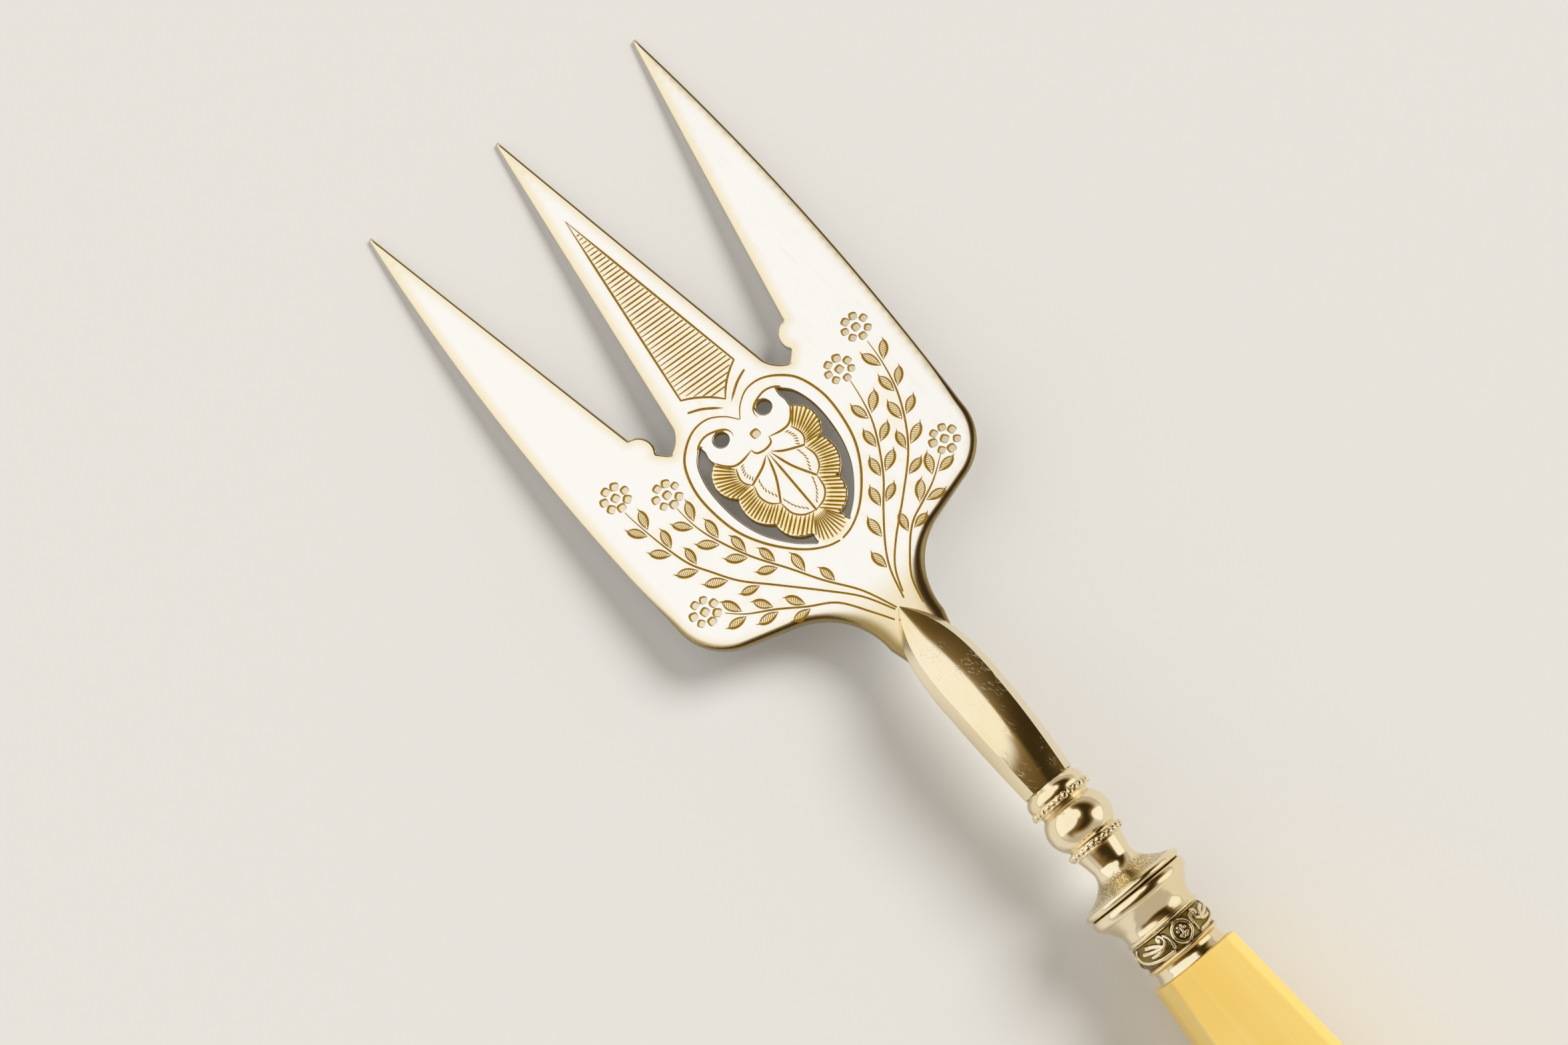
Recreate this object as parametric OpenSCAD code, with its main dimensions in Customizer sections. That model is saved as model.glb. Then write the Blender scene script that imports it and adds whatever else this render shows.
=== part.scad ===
/* [Head] */
// Length of the head, from the point of the neck to the tine tips
head_len = 85.5; // [82:0.5:92]
// Width of the head at its widest
head_w = 48.7; // [46:0.1:52]
// Distance between the tips of the two outer tines
tip_spread = 45; // [43:0.2:47]
// Length of the tines, from their tips to the corners of the middle one's root
tine_len = 48.2; // [46:0.1:50]
// Width of the middle tine at its root
mid_tine_w = 14.8; // [14:0.1:15.6]
// Width of an outer tine at its root
side_tine_w = 11.5; // [11:0.1:12]
// Width of a tine's ground point
point_w = 0.45; // [0.3:0.05:0.7]
// How far the middle tine's tip has been bent to one side in use
mid_tip_lean = 1; // [0:0.1:1.4]
// Thickness of the sheet where it meets the neck
sheet_t = 1.9; // [1.6:0.05:2.4]
// Thickness of the tine tips
tip_t = 0.7; // [0.5:0.05:1]
// Radius of the head's long upward curve, seen from the side
dish_r = 1300; // [1100:50:1600]
// Slope of the tines' underside at the tips, in degrees
tip_slope = 2.6; // [2.4:0.05:2.9]
// Radius of a shoulder
shoulder_r = 8; // [7:0.1:9]
// Distance from the neck's point to the middle of a shoulder's curve
shoulder_at = 15.9; // [15:0.1:17]
// Radius of the hollow sweep from a shoulder into the throat
sweep_r = 10.4; // [9.6:0.1:11]
// Width of the throat, where the sheet runs in under the neck
throat_w = 8.4; // [8:0.1:9]
// How far the notch beside the middle tine reaches back past the tine's root
notch_d = 2.6; // [2:0.1:3]
// How far the small lobe beside each notch stands into the gap
lobe_h = 1.2; // [0.8:0.1:1.4]

/* [Medallion] */
// Distance from the neck's point to the back end of the pierced opening
piercing_at = 13.1; // [12.5:0.1:14]
// Solid metal left between the opening and the root of the tines
piercing_gap = 4.2; // [3.8:0.1:5]
// Radius of each pierced eye
eye_r = 1.05; // [0.8:0.05:1.3]
// Distance of each eye from the middle line
eye_y = 3.5; // [3.3:0.05:3.8]
// Width of the pierced opening round the shell, side to side
piercing_w = 17.6; // [17.2:0.1:18.4]
// Rise of the shell's first scallop, beside the eye
scallop_1 = 1.6; // [1.2:0.1:1.7]
// Rise of the second scallop
scallop_2 = 1.15; // [0.8:0.05:1.3]
// Rise of the third scallop
scallop_3 = 0.95; // [0.6:0.05:1.1]

/* [Neck] */
// Length of the neck, from the bolster to its point on the head
neck_len = 28.8; // [27:0.1:31]
// Width of the neck's flat top face at its widest
face_w = 6.3; // [5.8:0.1:6.8]
// Width of the top face at the bolster
face_end_w = 4.9; // [4.4:0.1:5.4]
// How far each side of the neck slopes out below the top face
side_slope_w = 1.15; // [0.9:0.05:1.3]
// Height of the neck at the bolster
neck_h = 5.4; // [5:0.1:5.8]
// Height of the arch above a straight line to the head
arch_rise = 2.6; // [2:0.1:3]
// Height of the low ridge along the top face
ridge_h = 0.45; // [0:0.05:0.7]
// Radius of the tang that runs back through the bolster into the handle
tang_r = 1.7; // [1.4:0.05:2]
// How far the tang reaches into the handle
tang_len = 46; // [35:1:60]

/* [Bolster] */
// Length of the bolster
bolster_len = 16.2; // [15.4:0.1:17.4]
// Radius of the rim of the cup that takes the neck
cup_r = 3.4; // [3.2:0.05:3.6]
// Radius of the core under the first milled ring
ring_1_r = 4.05; // [3.9:0.05:4.2]
// Radius of the ball
ball_r = 4.45; // [4.2:0.05:4.7]
// Radius of the core under the second milled ring
ring_2_r = 3.7; // [3.5:0.05:3.9]
// Radius of the beads milled on both rings
bead_r = 0.42; // [0.35:0.01:0.5]
// Radius of the stem at its narrowest
stem_r = 2.85; // [2.6:0.05:3.1]
// Radius of the flange
flange_r = 7; // [6.8:0.05:7.4]

/* [Ferrule] */
// Length of the ferrule
ferrule_len = 10.8; // [10.4:0.1:11.6]
// Thickness of the ferrule's stamped metal at its plain end
ferrule_t = 0.5; // [0.4:0.05:0.6]
// Radius of the ferrule's front rim
rim_r = 6.85; // [6.7:0.05:7.1]
// Radius of the ferrule's waist
waist_r = 4.9; // [4.8:0.05:5.1]
// Radius of the raised band at its fullest
band_r = 5.4; // [5.3:0.05:5.6]
// Radius of the ferrule where it meets the handle
ferrule_end_r = 4.95; // [4.85:0.05:5.1]

/* [Handle] */
// Length of the handle outside the ferrule
handle_len = 82; // [70:1:95]
// Width of the handle beside the ferrule
handle_w = 11; // [10.8:0.1:11.6]
// Width of the handle near its end
butt_w = 18.8; // [17:0.2:20]
// Thickness of the handle beside the ferrule
handle_t = 10.2; // [10:0.1:10.8]
// Thickness of the handle near its end
butt_t = 13.2; // [12:0.2:14]
// Width of the bevel along the handle's four long edges
bevel_w = 1.3; // [1:0.1:1.6]
// Length over which the end of the handle is rounded
butt_round = 5; // [3:0.5:7]
// Length of the handle's spigot inside the ferrule
spigot_len = 3; // [2:0.1:4]
// Radius of the hole for the tang and its cement
handle_bore_r = 2.6; // [2.3:0.05:2.9]
// Depth of cement past the end of the tang
bore_spare = 2; // [1:0.5:4]
// Slope of the handle from the bolster down to its end, in degrees
handle_slope = 2.1; // [1.8:0.05:2.4]

/* [Hidden] */
$fn = 64;

// Places along the fork, measured from the joint between ferrule and handle
bolster_x = ferrule_len;
neck_x = bolster_x + bolster_len;
keel_x = neck_x + neck_len;
tip_x = keel_x + head_len;

// Half thickness and half width of the handle at a distance s behind the ferrule
round_s = handle_len - butt_round;
function swell(s) = sin(90 * min(1, s / round_s));
function end_round(s) = s <= round_s ? 1 : sqrt(1 - 0.8 * pow((s - round_s) / butt_round, 2));
function half_w(s) = (handle_w + (butt_w - handle_w) * swell(s)) / 2 * end_round(s);
function half_t(s) = (handle_t + (butt_t - handle_t) * min(1, s / round_s)) / 2 * end_round(s);
stations = [for (i = [0:12]) handle_len * i / 16, for (i = [1:12]) handle_len * (0.75 + i / 48)];
// Height of the handle's axis at the ferrule, so that its lowest point touches the table
axis_z = max([for (s = stations) s * sin(handle_slope) + half_t(s) * cos(handle_slope)]);
neck_z = axis_z + neck_x * sin(handle_slope);
// The middle of the fork's whole length is the origin
butt_x = -handle_len * cos(handle_slope) - half_t(handle_len) * sin(handle_slope);
mid_x = (tip_x + butt_x) / 2;

// Arc from p to q that swells to the left of the way there by b, or to the right if b is negative
function arc(p, q, b, n = 8) =
    let (d = q - p, len = norm(d), r = (len * len / 4 + b * b) / (2 * abs(b)),
         c = (p + q) / 2 + (b - sign(b) * r) * [-d[1], d[0]] / len,
         start = atan2(p[1] - c[1], p[0] - c[0]), sweep = -sign(b) * 2 * asin(len / 2 / r))
    turn_arc(c, r, start, start + sweep, n);
// Arc about a centre, from angle a to angle b
function turn_arc(c, r, a, b, n = 10) =
    [for (i = [0:n]) c + r * [cos(a + (b - a) * i / n), sin(a + (b - a) * i / n)]];
// Smooth curve through points
function spline(p, n = 4) =
    let (m = len(p) - 1)
    concat([for (i = [0:m - 1], k = [0:n - 1])
        let (t = k / n, a = p[max(0, i - 1)], b = p[i], c = p[i + 1], d = p[min(m, i + 2)])
        (2 * b + (c - a) * t + (2 * a - 5 * b + 4 * c - d) * t * t + (3 * b - a - 3 * c + d) * t * t * t) / 2],
        [p[m]]);
function mirrored(p) = [for (i = [len(p) - 1:-1:0]) [p[i][0], -p[i][1]]];

// Head outline, with u measured from the neck's point towards the tips
root_u = head_len - tine_len;
half_head = head_w / 2;
// The outer edge leaves the shoulder this far inside the widest point, which its own swell makes good
edge_swell = 1.5;
shoulder_in = 1.1;
// The throat is narrowest a little behind the neck's point
throat_u = -3.6;
shoulder_c = [shoulder_at, half_head - shoulder_in - shoulder_r];
sweep_c = [throat_u, throat_w / 2 + sweep_r];
link = shoulder_c - sweep_c;
link_a = atan2(link[1], link[0]) - acos((shoulder_r + sweep_r) / norm(link));
// Corners of the gap's closed end: the outer tine, the lobe, the notch and the middle tine
lobe_in = [root_u + 2.6, half_head - side_tine_w];
lobe_out = [root_u - 1.2, half_head - side_tine_w - 1.7];
notch_corner = [root_u - notch_d, mid_tine_w / 2 + 2.4];
mid_corner = [root_u, mid_tine_w / 2];
notch_hollow = 0.35;
function lean(p) = [p[0], p[1] + mid_tip_lean * max(0, p[0] - root_u) / tine_len];

side_edge = concat(
    [[throat_u - 7.4, throat_w / 2 - 1.2], [throat_u - 2.4, throat_w / 2 - 0.7]],
    turn_arc(sweep_c, sweep_r, -90, link_a, 12),
    turn_arc(shoulder_c, shoulder_r, 180 + link_a, 90, 12),
    arc([shoulder_at + 1, half_head - shoulder_in + 0.05], [head_len, (tip_spread + point_w) / 2], edge_swell, 16),
    [[head_len, (tip_spread - point_w) / 2]],
    arc(lobe_in, lobe_out, lobe_h, 6),
    arc(notch_corner, mid_corner, -notch_hollow, 4));
mid_edge = [[head_len, point_w / 2]];
head_outline = concat(side_edge, [for (p = concat(mid_edge, mirrored(mid_edge))) lean(p)], mirrored(side_edge));

// Pierced opening beside the shell; its points are placed by their share of its length
piercing_len = root_u - piercing_gap - piercing_at;
piercing_y = piercing_w / 2;
function spot(share, inset) = [piercing_at + share * piercing_len, piercing_y - inset];
// Cusps between the scallops, from the eye to the neck
cusps = [spot(0.85, 2.55), spot(0.56, 2), spot(0.27, 3.6), spot(0.07, 6.5)];
squeeze = piercing_len / 20;
scallop_edge = concat(
    arc(cusps[3], cusps[2], scallop_3 * squeeze, 6),
    arc(cusps[2], cusps[1], scallop_2 * squeeze, 6),
    arc(cusps[1], cusps[0], scallop_1 * squeeze, 7),
    [spot(0.9, 2.45), spot(0.95, 2.65)]);
opening = concat(
    spline([spot(1, 2.5), spot(0.91, 0.9), spot(0.76, 0.05), spot(0.585, 0), spot(0.41, 0.55), spot(0.25, 1.8),
        spot(0.1, 4), spot(0, 6.3)]),
    scallop_edge);
eye_u = piercing_at + 0.95 * piercing_len;

// Solid between the head's curved underside and its curved top, raised or lowered
taper = atan((sheet_t - tip_t) / head_len);
module dish(z_tip, slope) {
    translate([tip_x + dish_r * sin(slope), 0, z_tip + dish_r * cos(slope)])
        rotate([90, 0, 0])
            cylinder(r = dish_r, h = head_w + 20, center = true, $fn = 2400);
}
module sheet() {
    difference() {
        intersection() {
            translate([keel_x, 0, -2])
                linear_extrude(24)
                    children();
            dish(0, tip_slope);
        }
        dish(tip_t, tip_slope + taper);
    }
}

// Skin over a list of rings with the same number of points
module skin(rings) {
    m = len(rings[0]);
    n = len(rings);
    polyhedron(
        points = [for (r = rings) each r],
        faces = concat(
            [[for (i = [m - 1:-1:0]) i]],
            [for (j = [0:n - 2], i = [0:m - 1])
                each [[j * m + i, (j + 1) * m + (i + 1) % m, (j + 1) * m + i],
                      [j * m + i, j * m + (i + 1) % m, (j + 1) * m + (i + 1) % m]]],
            [[for (i = [0:m - 1]) (n - 1) * m + i]]));
}

// Moves a child that lies along X onto the sloping axis of the handle
module on_axis() {
    translate([0, 0, axis_z])
        rotate([0, -handle_slope, 0])
            children();
}
// Turned shape: profile points are distance along the axis and radius
module turned(profile) {
    on_axis()
        rotate([90, 0, 90])
            rotate_extrude($fn = 96)
                polygon([for (p = profile) [p[1], p[0]]]);
}

// Height of the sheet's top face at the neck's point
keel_z = tip_t + head_len * tan(tip_slope + taper) + head_len * head_len / 2 / dish_r;
// Neck section at a place v along it, from 0 at the bolster to 1 at its point
function face_half(v) = v < 0.5
    ? (face_end_w + (face_w - face_end_w) * sin(180 * v)) / 2
    : face_w / 2 * (1 - pow((v - 0.5) / 0.5, 3)) + 0.06;
function neck_ring(v) =
    let (zt = (neck_z + neck_h / 2) * (1 - v) + keel_z * v + arch_rise * 4 * v * (1 - v) * (1 - 0.35 * v),
         zb = (neck_z - neck_h / 2) * (1 - v) + (keel_z - 1.5) * v,
         h = zt - zb, t = face_half(v), b = t + side_slope_w * (1 - 0.35 * pow(v, 3)), x = neck_x + v * neck_len)
    [[x, 0, zt + ridge_h * (1 - v)], [x, t, zt], [x, b, zt - 0.4 * h], [x, b * 0.9, zb + 0.22 * h], [x, b * 0.45, zb],
     [x, -b * 0.45, zb], [x, -b * 0.9, zb + 0.22 * h], [x, -b, zt - 0.4 * h], [x, -t, zt]];

// Size of the block that squares off the neck's end
trim = 20;
module neck() {
    difference() {
        skin([for (i = [-1:20]) neck_ring(i / 20)]);
        on_axis()
            translate([neck_x - trim, -trim / 2, -trim / 2])
                cube(trim);
    }
}
module fork_head() {
    color("silver") {
        difference() {
            union() {
                sheet()
                    polygon(head_outline);
                neck();
                on_axis()
                    translate([-tang_len, 0, 0])
                        rotate([0, 90, 0])
                            cylinder(r = tang_r, h = tang_len + neck_x + 3);
            }
            for (side = [0, 1])
                mirror([0, side, 0])
                    translate([keel_x, 0, -1])
                        linear_extrude(24) {
                            polygon(opening);
                            translate([eye_u, eye_y])
                                circle(r = eye_r);
                        }
        }
    }
}

// Ring of beads milled on the bolster
module bead_ring(x, r) {
    count = floor(PI * r / bead_r);
    for (i = [0:count - 1])
        translate([x, 0, 0])
            rotate([360 * i / count, 0, 0])
                translate([0, 0, r])
                    sphere(r = bead_r, $fn = 20);
}
// Places along the bolster, measured from its flange
ring_1_x = bolster_x + bolster_len - 2.3;
ball_x = bolster_x + bolster_len - 5.7;
ring_2_x = bolster_x + bolster_len - 8.9;
stem_x = bolster_x + 3.9;
bolster_profile = concat(
    [[neck_x, tang_r], [neck_x, cup_r]],
    arc([neck_x - 0.2, cup_r + 0.15], [ring_1_x + 0.45, ring_1_r - 0.1], -0.25, 4),
    [[ring_1_x + 0.35, ring_1_r], [ring_1_x - 0.35, ring_1_r], [ring_1_x - 0.5, ball_r - 1.1]],
    arc([ball_x + 2.5, ball_r - 1.1], [ball_x - 2.5, ball_r - 1.1], -1.1, 12),
    [[ring_2_x + 0.35, ring_2_r], [ring_2_x - 0.35, ring_2_r], [ring_2_x - 0.5, ring_2_r - 0.35]],
    spline([[ring_2_x - 0.9, ring_2_r - 0.45], [stem_x + 1.2, stem_r + 0.1], [stem_x, stem_r], [stem_x - 1.3, stem_r + 0.75],
        [bolster_x + 1.6, flange_r - 1.9], [bolster_x + 1, flange_r - 0.3]], 4),
    arc([bolster_x + 0.9, flange_r - 0.12], [bolster_x, flange_r - 0.25], -0.2, 4),
    [[bolster_x, tang_r]]);
module bolster() {
    color("gainsboro") {
        turned(bolster_profile);
        on_axis() {
            bead_ring(ring_1_x, ring_1_r);
            bead_ring(ring_2_x, ring_2_r);
        }
    }
}

// Inside of the ferrule, which the spigot and the cement fill
ferrule_bore_r = waist_r - ferrule_t;
mouth_x = ferrule_len - 1.6;
ferrule_outside = concat(
    [[ferrule_len, rim_r - 0.15]],
    arc([ferrule_len - 0.15, rim_r - 0.05], [mouth_x + 0.3, rim_r - 0.1], -0.12, 4),
    spline([[mouth_x, rim_r - 0.5], [mouth_x - 0.9, waist_r + 0.75], [mouth_x - 2, waist_r + 0.1], [mouth_x - 3, waist_r]], 4),
    [[mouth_x - 3.15, waist_r + 0.2], [mouth_x - 3.6, waist_r + 0.2], [mouth_x - 3.75, waist_r + 0.05]],
    arc([mouth_x - 3.9, waist_r + 0.1], [mouth_x - 7, waist_r + 0.1], -(band_r - waist_r - 0.1), 8),
    [[mouth_x - 7.1, waist_r + 0.2], [mouth_x - 7.5, waist_r + 0.2]],
    spline([[mouth_x - 7.7, waist_r - 0.15], [mouth_x - 8.3, waist_r - 0.2], [0, ferrule_end_r]], 4));
ferrule_inside = [[0, ferrule_bore_r], [mouth_x - 1.6, ferrule_bore_r], [mouth_x + 0.2, rim_r - 0.8], [ferrule_len, rim_r - 0.8]];
module ferrule() {
    color("darkgray")
        turned(concat(ferrule_outside, ferrule_inside));
}

module cement() {
    color("sienna")
        turned(concat(
            [[ferrule_len, tang_r], [-tang_len, tang_r], [-tang_len, 0], [-tang_len - bore_spare, 0],
             [-tang_len - bore_spare, handle_bore_r], [spigot_len, handle_bore_r], [spigot_len, ferrule_bore_r]],
            [for (i = [1:3]) ferrule_inside[i]]));
}

// Rectangle of the handle with its four edges bevelled, a distance s behind the ferrule
function handle_ring(s) =
    let (y = half_w(s), z = half_t(s), c = bevel_w * min(1, end_round(s) + 0.2))
    [[-s, y - c, z], [-s, y, z - c], [-s, y, c - z], [-s, y - c, -z], [-s, c - y, -z], [-s, -y, c - z], [-s, -y, z - c],
     [-s, c - y, z]];
module handle() {
    color("wheat")
        on_axis()
            difference() {
                union() {
                    skin([for (i = [len(stations) - 1:-1:0]) handle_ring(stations[i])]);
                    rotate([0, 90, 0])
                        cylinder(r = ferrule_bore_r, h = spigot_len);
                }
                translate([-tang_len - bore_spare, 0, 0])
                    rotate([0, 90, 0])
                        cylinder(r = handle_bore_r, h = tang_len + bore_spare + spigot_len + 1);
            }
}

translate([-mid_x, 0, 0]) {
    fork_head();
    bolster();
    ferrule();
    cement();
    handle();
}
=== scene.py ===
# %% [markdown]
# # A bread fork, dressed
# This lesson dresses a plain CAD model of a broad silver-plated serving fork. The CAD solids give every
# piece its place and size. Here each of them gets the surface that the eye looks for: engraving, rolled
# edges, milled nuggets, an embossed band and a grained handle.

# %% Tools and the fixed frame
import math

import bpy
import numpy as np
from mathutils import Matrix, Vector, geometry, kdtree


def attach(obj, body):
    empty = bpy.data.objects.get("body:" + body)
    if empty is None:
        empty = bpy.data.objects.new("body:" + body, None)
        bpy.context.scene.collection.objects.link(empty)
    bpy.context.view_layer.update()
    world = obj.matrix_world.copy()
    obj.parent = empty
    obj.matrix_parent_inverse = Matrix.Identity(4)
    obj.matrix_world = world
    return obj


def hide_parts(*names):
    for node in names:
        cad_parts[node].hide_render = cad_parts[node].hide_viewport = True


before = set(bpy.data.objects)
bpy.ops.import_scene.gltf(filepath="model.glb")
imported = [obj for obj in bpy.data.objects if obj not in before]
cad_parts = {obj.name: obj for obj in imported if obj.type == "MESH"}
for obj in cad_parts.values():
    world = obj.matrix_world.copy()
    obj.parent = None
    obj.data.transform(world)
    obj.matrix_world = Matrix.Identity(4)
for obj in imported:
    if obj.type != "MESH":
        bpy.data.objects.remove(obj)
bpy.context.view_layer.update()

# %% [markdown]
# ## Sizes
# The pieces are drawn in millimetres along the fork, as its maker would measure them: x starts at the joint
# between ferrule and handle and runs to the tips. The row's frame is in metres and starts at the middle of
# the fork, so one function carries points over when a mesh is made.

# %% Sizes of the real fork, in millimetres
MM = 0.001
FERRULE_LEN, BOLSTER_LEN, NECK_LEN, HEAD_LEN = 10.8, 16.2, 28.8, 85.5
BOLSTER_X = FERRULE_LEN
NECK_X = BOLSTER_X + BOLSTER_LEN
KEEL_X = NECK_X + NECK_LEN
TIP_X = KEEL_X + HEAD_LEN
HANDLE_LEN, HANDLE_W, BUTT_W, HANDLE_T, BUTT_T = 82.0, 11.0, 18.8, 10.2, 13.2
BEVEL_W, BUTT_ROUND = 1.3, 5.0
HANDLE_SLOPE = math.radians(2.1)


def swell(s):
    """How far the handle has widened at a distance s behind the ferrule, from 0 to 1."""
    return math.sin(math.pi / 2 * min(1, s / (HANDLE_LEN - BUTT_ROUND)))


def end_round(s):
    """Narrowing of the handle over its rounded end."""
    past = (s - (HANDLE_LEN - BUTT_ROUND)) / BUTT_ROUND
    return 1 if past <= 0 else math.sqrt(1 - 0.8 * past * past)


def half_w(s):
    """Half the handle's width at a distance s behind the ferrule."""
    return (HANDLE_W + (BUTT_W - HANDLE_W) * swell(s)) / 2 * end_round(s)


def half_t(s):
    """Half the handle's thickness at a distance s behind the ferrule."""
    return (HANDLE_T + (BUTT_T - HANDLE_T) * min(1, s / (HANDLE_LEN - BUTT_ROUND))) / 2 * end_round(s)


STATIONS = [HANDLE_LEN * i / 16 for i in range(13)] + [HANDLE_LEN * (0.75 + i / 48) for i in range(1, 13)]
AXIS_Z = max(s * math.sin(HANDLE_SLOPE) + half_t(s) * math.cos(HANDLE_SLOPE) for s in STATIONS)
BUTT_X = -HANDLE_LEN * math.cos(HANDLE_SLOPE) - half_t(HANDLE_LEN) * math.sin(HANDLE_SLOPE)
MID_X = (TIP_X + BUTT_X) / 2
print(f"axis height {AXIS_Z:.3f} mm, middle at {MID_X:.3f} mm")


def to_row(points):
    """Millimetres along the fork to metres in the row's frame."""
    p = np.asarray(points, float)
    return (p - [MID_X, 0, 0]) * MM


def on_axis(points):
    """Points along the handle's own axis to the fork, which stands a little nose-up."""
    p = np.asarray(points, float)
    c, s = math.cos(HANDLE_SLOPE), math.sin(HANDLE_SLOPE)
    return np.column_stack([p[:, 0] * c - p[:, 2] * s, p[:, 1], AXIS_Z + p[:, 0] * s + p[:, 2] * c])


# %% [markdown]
# ## Camera
# The photograph looks down on the fork from about fourteen degrees off the vertical, with the tips at the
# top left and the handle leaving at the bottom right. A camera is a place and three directions, so its
# matrix is built from where it looks and which way is up.

# %% Camera
CAMERA_PLACE = Vector((-0.02522, 0.0350, 0.3099))
LOOKS_ALONG = Vector((0.222, -0.0984, -0.9701)).normalized()
CAMERA_UP = Vector((0.7528, -0.6149, 0.2347)).normalized()
LENS = 56.57

camera = bpy.data.objects.new("photo_camera", bpy.data.cameras.new("photo_camera"))
camera.data.lens = LENS
camera.data.sensor_width = 36
camera.data.clip_start = 0.01
side_way = LOOKS_ALONG.cross(CAMERA_UP).normalized()
CAMERA_UP = side_way.cross(LOOKS_ALONG)
turn = Matrix((side_way, CAMERA_UP, -LOOKS_ALONG)).transposed()
camera.matrix_world = Matrix.Translation(CAMERA_PLACE) @ turn.to_4x4()
bpy.context.scene.collection.objects.link(camera)
bpy.context.scene.camera = camera
print("camera at", [round(v, 4) for v in CAMERA_PLACE])

# %% [markdown]
# ## Shader maths as plain expressions
# A material is a chain of small sums. Wrapping a socket in a class lets Python write those sums as a + b
# or 1 - mask, and each sign adds one Math node. Colours never go through Math, which would turn them grey:
# they go through Mix. Every other node comes from one method.


# %% A socket that can be added and multiplied
class Level:
    """One number that varies over a surface."""

    def __init__(self, finish, socket):
        self.finish, self.socket = finish, socket

    def sum(self, operation, *others):
        """One Math node on this number and the others."""
        return self.finish.node("ShaderNodeMath", {"operation": operation}, dict(enumerate((self, *others))))

    def __add__(self, other):
        return self.sum("ADD", other)

    def __mul__(self, other):
        return self.sum("MULTIPLY", other)

    def __sub__(self, other):
        return self.sum("SUBTRACT", other)

    def __rsub__(self, other):
        return (self * -1.0) + other

    __radd__, __rmul__ = __add__, __mul__

    def clamp(self):
        """The same number, kept between 0 and 1."""
        return self.finish.node("ShaderNodeClamp", {}, {0: self})

    def between(self, low, high):
        """0 below low, 1 above high, smooth in between."""
        return self.finish.node("ShaderNodeMapRange", {"interpolation_type": "SMOOTHSTEP"},
                                {0: self, 1: low, 2: high, 3: 0.0, 4: 1.0})


class Finish:
    """A material, or the world, built node by node."""

    def __init__(self, owner):
        owner.use_nodes = True
        self.owner, self.tree = owner, owner.node_tree
        self.tree.nodes.clear()

    def node(self, kind, settings=None, sockets=None, out=0):
        """A node with its settings, then the values or links of its sockets; gives one of its outputs."""
        made = self.tree.nodes.new(kind)
        for name, value in (settings or {}).items():
            setattr(made, name, value)
        for name, value in (sockets or {}).items():
            socket = made.inputs[name]
            if isinstance(value, Level):
                self.tree.links.new(value.socket, socket)
            else:
                socket.default_value = value
        return Level(self, made.outputs[out]) if made.outputs else made

    def mix(self, amount, a, b):
        """Colour a where amount is 0 and colour b where it is 1."""
        a, b = [c if isinstance(c, Level) else (*c, 1) for c in (a, b)]
        return self.node("ShaderNodeMix", {"data_type": "RGBA"}, {0: amount, 6: a, 7: b}, out=2)

    def place(self, scale=(1, 1, 1), turn=(0, 0, 0)):
        """Object coordinates in metres, turned and then stretched."""
        here = self.node("ShaderNodeTexCoord", {}, {}, out="Object")
        longer = [1 / s for s in scale]
        return self.node("ShaderNodeMapping", {"vector_type": "TEXTURE"},
                         {"Vector": here, "Scale": longer, "Rotation": turn})

    def noise(self, scale, detail=2.0, stretch=(1, 1, 1), turn=(0, 0, 0)):
        """Noise with scale features to a metre; a stretch below 1 draws them out along that axis."""
        sockets = {"Vector": self.place(stretch, turn), "Scale": scale, "Detail": detail}
        return self.node("ShaderNodeTexNoise", {}, sockets)

    def mark(self, name):
        """A number stored on the mesh's points."""
        return self.node("ShaderNodeAttribute", {"attribute_name": name}, {}, out="Fac")

    def surface(self, sockets):
        """The finish itself: one Principled shader with the values or links of its sockets."""
        shader = self.node("ShaderNodeBsdfPrincipled", {}, sockets)
        self.node("ShaderNodeOutputMaterial", {}, {"Surface": shader})


def material(name):
    """A new material with nothing in it yet."""
    return Finish(bpy.data.materials.new(name))


# %% [markdown]
# ## Meshes
# Every piece ends as a plain mesh whose points are already in the row's frame, so its object sits unturned
# at the origin. One function does that for all of them, stores named numbers on the points for the
# materials to read, and marks as creases the edges that fold by more than a given angle.


# %% From arrays to an object
def keep_flat(mesh, chosen):
    """Marks the chosen faces and the edges round them as sharp, so that shading doesn't round them off."""
    faceted = np.zeros(len(mesh.polygons), bool)
    faceted[chosen] = True
    layer = mesh.attributes.get("sharp_face") or mesh.attributes.new("sharp_face", "BOOLEAN", "FACE")
    layer.data.foreach_set("value", faceted)
    corner_edges = np.zeros(len(mesh.loops), np.int32)
    mesh.loops.foreach_get("edge_index", corner_edges)
    sizes = np.zeros(len(mesh.polygons), np.int32)
    mesh.polygons.foreach_get("loop_total", sizes)
    creased = np.zeros(len(mesh.edges), bool)
    creased[corner_edges[np.repeat(faceted, sizes)]] = True
    layer = mesh.attributes.get("sharp_edge") or mesh.attributes.new("sharp_edge", "BOOLEAN", "EDGE")
    layer.data.foreach_set("value", creased)


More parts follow.
